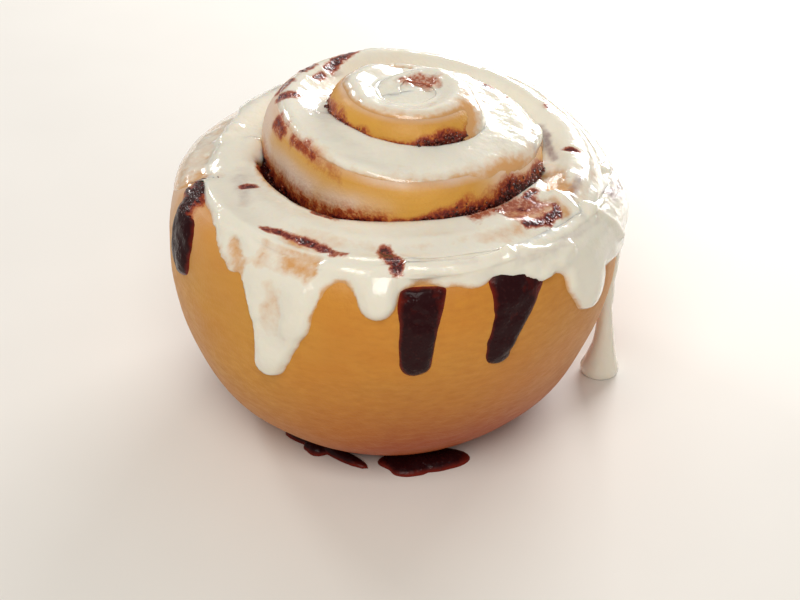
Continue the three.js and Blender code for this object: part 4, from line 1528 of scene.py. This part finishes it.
@dataclass
class SyrupRun:
    """A run of syrup down the wall.

    Attributes:
        stroke: rows of (azimuth, height, half width) from its root to its tip.
        thick: depth of the syrup in millimetres.
        seed: picks its pattern of lumps.
        margin: how far the patch of wall reaches past the stroke.
        sunk: how far the patch's back lies inside the wall.
    """

    shape: RollShape
    stroke: tuple[tuple[float, float, float], ...]
    thick: float = 1.3
    seed: int = 0
    margin: float = 1.6
    sunk: float = 1.4
    columns: int = 72
    rows: int = 110

    def surface(self) -> Shell:
        """A patch of the wall moved out by the syrup's depth, and the same patch moved
        inwards, joined round their edges. The depth rises from the stroke's edge to a
        rounded body that is deeper towards its tip.

        Returns:
            The shell.
        """
        stroke = np.array(self.stroke)
        reach = (stroke[:, 2].max() + self.margin) / MM_PER_DEGREE
        azimuth = np.linspace(stroke[:, 0].min() - reach, stroke[:, 0].max() + reach, self.columns)
        shares = np.linspace(0, 1, 2001)
        heights = self.shape.wall(np.full(shares.shape, stroke[:, 0].mean()), shares)[:, 2]
        bottom = np.interp(stroke[:, 1].min() - stroke[-1, 2] - self.margin, heights, shares)
        top = np.interp(stroke[:, 1].max() + self.margin, heights, shares)
        share = np.linspace(bottom, top, self.rows)
        wall = self.shape.wall(azimuth[:, None], share[None, :])
        normal = np.cross(np.gradient(wall, axis=0), np.gradient(wall, axis=1))
        normal /= np.linalg.norm(normal, axis=-1, keepdims=True)
        middle = stroke[0, 0]
        x = (azimuth[:, None] - middle) * MM_PER_DEGREE + 0 * share
        z = wall[..., 2]
        edge = 0.24 * fractal(wall, 4.0, 2, self.seed)
        path = [((a - middle) * MM_PER_DEGREE, h, r) for a, h, r in self.stroke]
        outside = stroke_distance(x, z, path) + edge
        fall = 1 - smoothstep(stroke[-1, 1], stroke[0, 1], z)
        inside = (0.65 + 0.5 * fall) * self.thick * (1 - np.exp(-np.maximum(-outside, 0) / 1.1))
        inside = inside * (1 + 0.25 * fractal(wall, 3.4, 2, self.seed + 5))
        depth = np.where(outside > 0, -np.minimum(outside * 1.2, 0.9), inside)
        depth = depth - (depth + 0.9) * smoothstep(0.965, 1.0, share)[None] * (share[-1] > 0.99)
        front = wall + normal * depth[..., None]
        back = wall - normal * self.sunk
        count = depth.size
        index = np.arange(count).reshape(depth.shape)
        quads = [grid_quads(index), grid_quads(index + count)[:, ::-1]]
        rim = np.concatenate([index[:, 0], index[-1, 1:], index[-2::-1, -1], index[0, -2:0:-1]])
        rim = np.append(rim, rim[0])
        quads.append(grid_quads(np.stack([rim + count, rim], axis=1)))
        points = np.vstack([front.reshape(-1, 3), back.reshape(-1, 3)])
        values = {"depth": np.concatenate([depth.ravel(), np.zeros(count)])}
        return Shell(points, np.vstack(quads), values=values)


@dataclass
class FootPool:
    """A pool of syrup on the ground at the foot of the roll.

    Attributes:
        middle: (azimuth, radius) of the pool's middle.
        outline: rows of (direction in degrees, reach in millimetres) from the middle;
            direction 0 runs round the roll anticlockwise and 90 points at the roll.
        height: height of the pool.
        sole: height of its underside above the ground.
    """

    middle: tuple[float, float]
    outline: tuple[tuple[float, float], ...]
    height: float
    sole: float = 0.02
    sides: int = 96
    rings: int = 22
    seed: int = 0

    def surface(self) -> Shell:
        """A dome over the outline: its height falls as (1 - share of reach to the
        power 2.6) to the power 0.6, closed underneath.

        Returns:
            The shell.
        """
        a = math.radians(self.middle[0])
        middle = np.array([math.cos(a), math.sin(a), 0.0]) * self.middle[1]
        along = np.array([-math.sin(a), math.cos(a), 0.0])
        inward = np.array([-math.cos(a), -math.sin(a), 0.0])
        direction = np.arange(self.sides) * 360 / self.sides
        reach = Curve(self.outline, period=360.0).at(direction)
        turned = np.radians(direction)[:, None]
        way = np.cos(turned) * along + np.sin(turned) * inward
        reach = reach * (1 + 0.10 * fractal(way * 6 + middle, 5.0, 2, self.seed))
        share = 1 - (1 - np.arange(1, self.rings + 1) / self.rings) ** 1.6
        flat = middle + way[:, None] * (reach[:, None] * share[None])[..., None]
        rise = self.height * np.power(np.clip(1 - share**2.6, 0, 1), 0.6)
        lumps = 1 + 0.16 * fractal(flat, 4.0, 2, self.seed + 3)
        dome = flat.copy()
        dome[..., 2] = 0.03 + rise[None] * lumps
        sole = flat[:, ::-1].copy()
        sole[..., 2] = self.sole
        grid = np.concatenate([dome, sole[:, 1:]], axis=1)
        index = np.arange(grid[..., 0].size).reshape(grid.shape[:2])
        closed = np.vstack([index, index[:1]])
        count = index.size
        crown = np.stack([closed[:-1, 0], closed[1:, 0], np.full(self.sides, count)], axis=-1)
        under = np.stack([closed[1:, -1], closed[:-1, -1], np.full(self.sides, count + 1)], axis=-1)
        tops = np.array([middle + [0, 0, self.height], middle + [0, 0, self.sole]])
        points = np.vstack([grid.reshape(-1, 3), tops])
        shell = Shell(points, grid_quads(closed), np.vstack([crown, under]))
        shell.values = {"depth": shell.points[:, 2] * 0.75}
        return shell


@dataclass
class Grains:
    """Loose grains of cinnamon that stand out of the filling.

    Attributes:
        count: how many grains.
        size: (smallest, largest) half size in millimetres.
        seed: picks their places and shapes.
    """

    count: int
    size: tuple[float, float]
    seed: int

    @staticmethod
    def chance(shape: RollShape, skin: Skin, fill: Array) -> Array:
        """How likely each vertex is to carry a grain: where filling shows near a crease,
        not on the first part of the outer turn, and seldom in the deep gap.

        Args:
            shape: shape of the roll.
            skin: the labelled skin.
            fill: share of filling at each vertex.

        Returns:
            Chances, not yet adding up to 1.
        """
        creased = (skin.region == Region.TURN.value) * (skin.to_crease < 0.3)
        in_gap = smoothstep(0.5, 2.0, shape.sink(skin.crease_angle))
        creased = creased * (skin.angle > 100) * (1 - 0.8 * in_gap)
        return np.clip(fill - 0.45, 0, 0.6) * creased + 1e-9

    def surface(self, skin: Skin, shell: Shell, chance: Array) -> Shell:
        """Rough twenty-faced grains sunk into the skin at random vertices.

        Args:
            skin: the labelled skin.
            shell: the shell that the grains stand on.
            chance: how likely each vertex of the skin is to carry a grain.

        Returns:
            All grains as one shell.
        """
        rng = np.random.default_rng(self.seed)
        golden = (1 + 5**0.5) / 2
        corners = np.array([
            (-1, golden, 0), (1, golden, 0), (-1, -golden, 0), (1, -golden, 0),
            (0, -1, golden), (0, 1, golden), (0, -1, -golden), (0, 1, -golden),
            (golden, 0, -1), (golden, 0, 1), (-golden, 0, -1), (-golden, 0, 1),
        ]) / math.hypot(1, golden)
        faces = np.array([
            (0, 11, 5), (0, 5, 1), (0, 1, 7), (0, 7, 10), (0, 10, 11), (1, 5, 9), (5, 11, 4),
            (11, 10, 2), (10, 7, 6), (7, 1, 8), (3, 9, 4), (3, 4, 2), (3, 2, 6), (3, 6, 8),
            (3, 8, 9), (4, 9, 5), (2, 4, 11), (6, 2, 10), (8, 6, 7), (9, 8, 1),
        ])
        n = len(skin.region)
        picks = rng.choice(n, self.count, p=chance / chance.sum())
        normals = shell.normals()[picks]
        place = shell.points[picks] + rng.uniform(-0.35, 0.35, (self.count, 3))
        low, high = self.size
        half = low + (high - low) * rng.random(self.count) ** 2
        stretch = half[:, None] * rng.uniform(0.65, 1.3, (self.count, 3))
        spin = rng.normal(size=(self.count, 4))
        w, x, y, z = (spin / np.linalg.norm(spin, axis=1, keepdims=True)).T
        matrix = np.stack([
            1 - 2 * (y * y + z * z), 2 * (x * y - w * z), 2 * (x * z + w * y),
            2 * (x * y + w * z), 1 - 2 * (x * x + z * z), 2 * (y * z - w * x),
            2 * (x * z - w * y), 2 * (y * z + w * x), 1 - 2 * (x * x + y * y),
        ], axis=1).reshape(-1, 3, 3)
        rough = corners[None] * rng.uniform(0.7, 1.2, (self.count, 12, 1)) * stretch[:, None]
        grains = np.einsum("nij,nkj->nki", matrix, rough)
        grains += (place + normals * half[:, None] * 0.25)[:, None]
        triangles = faces[None] + 12 * np.arange(self.count)[:, None, None]
        tone = np.repeat(rng.random(self.count) ** 1.6, 12)
        return Shell(grains.reshape(-1, 3), triangles=triangles.reshape(-1, 3), values={"tone": tone})


# ------------------------------------------------------------------ the studio


@dataclass(frozen=True)
class SoftBox:
    """A rectangular lamp that faces a point of the roll and isn't seen itself."""

    name: str
    place: tuple[float, float, float]
    size: tuple[float, float]
    power: float
    colour: tuple[float, float, float] = (1.0, 1.0, 1.0)

    def build(self, target: tuple[float, float, float]) -> None:
        """Makes the lamp.

        Args:
            target: the point it faces, in metres.
        """
        lamp = bpy.data.lights.new(self.name, "AREA")
        lamp.shape = "RECTANGLE"
        lamp.size, lamp.size_y = self.size
        lamp.energy = self.power
        lamp.color = self.colour
        holder = bpy.data.objects.new(self.name, lamp)
        holder.location = self.place
        holder.visible_camera = False
        holder.rotation_euler = (Vector(target) - Vector(self.place)).to_track_quat("-Z", "Y").to_euler()
        bpy.context.scene.collection.objects.link(holder)


@dataclass
class Studio:
    """Pale floor, white surroundings, soft lamps and the camera."""

    target: tuple[float, float, float] = (0.0, 0.0, 0.022)
    lit_point: tuple[float, float, float] = (0.0, 0.0, 0.045)
    elevation: float = 35.0
    distance: float = 0.420
    focal: float = 77.27
    ambient: float = 0.30
    lamps: tuple[SoftBox, ...] = (
        SoftBox("window", (0.24, 0.47, 0.19), (0.34, 0.13), 3.0, (1.0, 0.99, 0.99)),
        SoftBox("spark", (-0.34, 0.34, 0.30), (0.10, 0.06), 0.55, (1.0, 0.99, 0.98)),
        SoftBox("front_fill", (-0.05, -0.34, 0.47), (0.34, 0.34), 1.85, (1.0, 0.97, 0.92)),
    )

    def build(self, groups: Groups) -> None:
        """Makes the floor, the surroundings, the lamps and the camera.

        Args:
            groups: the shared effect groups by name.
        """
        scene = bpy.context.scene
        scene.view_settings.view_transform = "Standard"
        half = 3.0  # metres
        corners = np.array([(-half, -half, 0), (half, -half, 0), (half, half, 0), (-half, half, 0)]) / MM
        sheet = Shell(corners, quads=np.array([[0, 1, 2, 3]]))
        floor = sheet.to_object("floor", FloorFinish().build(groups))
        world = bpy.data.worlds.new("surroundings")
        world.use_nodes = True
        back = world.node_tree.nodes["Background"]
        back.inputs["Color"].default_value = (1.0, 0.99, 0.97, 1)
        back.inputs["Strength"].default_value = self.ambient
        scene.world = world
        for lamp in self.lamps:
            lamp.build(self.lit_point)
        camera = bpy.data.cameras.new("camera")
        camera.sensor_width = 36.0
        camera.lens = self.focal
        holder = bpy.data.objects.new("camera", camera)
        e = math.radians(self.elevation)
        aim = Vector(self.target)
        holder.location = aim + Vector((0.0, -math.cos(e), math.sin(e))) * self.distance
        holder.rotation_euler = (math.radians(90) - e, 0.0, 0.0)
        scene.collection.objects.link(holder)
        scene.camera = holder
        LOG.info("studio: %d lamps", len(self.lamps))


# ------------------------------------------------------------------ assembly


def main() -> None:
    """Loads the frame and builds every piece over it."""
    logging.basicConfig(level=logging.INFO, format="%(name)s: %(message)s", stream=sys.stdout)
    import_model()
    groups = {"mottle": EffectGroups.mottle(), "grit": EffectGroups.grit()}
    shape = RollShape()

    skin, crust = BakedDough(shape).surface()
    Piece("dough", "dough", ("dough_roll",)).settle(crust, DoughFinish().build(groups))

    icing_finish = IcingFinish().build(groups)
    coat = PouredIcing(shape).surface().joined(IcingStream().surface())
    Piece("icing", "icing", ("icing_coat",)).settle(coat, icing_finish)

    syrup_finish = SyrupFinish().build(groups)
    runs = {
        "left": SyrupRun(
            shape, ((199.0, 61.0, 3.6), (201.0, 58.5, 5.4), (203.4, 54.6, 6.2), (203.8, 50.4, 5.4)), 1.3, 101
        ),
        "centre": SyrupRun(
            shape, ((275.5, 60.0, 5.6), (274.7, 53.8, 4.9), (274.0, 48.7, 4.1), (273.5, 42.8, 3.6)), 1.4, 111
        ),
        "right": SyrupRun(
            shape, ((299.0, 58.0, 7.2), (296.5, 51.0, 4.8), (294.3, 46.0, 4.2), (293.4, 42.6, 3.4)), 1.4, 121
        ),
        "back": SyrupRun(shape, ((99.0, 57.0, 4.0), (99.5, 48.0, 3.2), (100.0, 41.0, 2.6)), 1.3, 131),
    }
    pools = {
        "front": FootPool(
            (275.0, 34.6),
            ((0, 12.5), (40, 5.0), (90, 2.0), (140, 3.5), (180, 8.2), (215, 6.6), (250, 5.6), (270, 5.2),
             (300, 5.4), (330, 8.0)),
            2.1, seed=141,
        ),
        "left": FootPool(
            (237.0, 35.4),
            ((0, 14.5), (20, 3.6), (90, 1.6), (160, 3.2), (180, 9.0), (200, 3.4), (240, 3.3), (270, 3.3),
             (300, 3.2), (340, 3.6)),
            2.0, seed=151,
        ),
    }
    for side, run in runs.items():
        Piece(f"syrup_{side}", "syrup", (f"syrup_run_{side}",)).settle(run.surface(), syrup_finish)
    for side, pool in pools.items():
        Piece(f"pool_{side}", "syrup", (f"syrup_pool_{side}",)).settle(pool.surface(), syrup_finish)

    chance = Grains.chance(shape, skin, crust.values["fill"][: len(skin.region)])
    grains = Grains(2600, (0.14, 0.42), 5).surface(skin, crust, chance)
    Piece("grains", "dough").settle(grains, CrumbFinish().build(groups))

    Studio().build(groups)


if __name__ == "__main__":
    main()
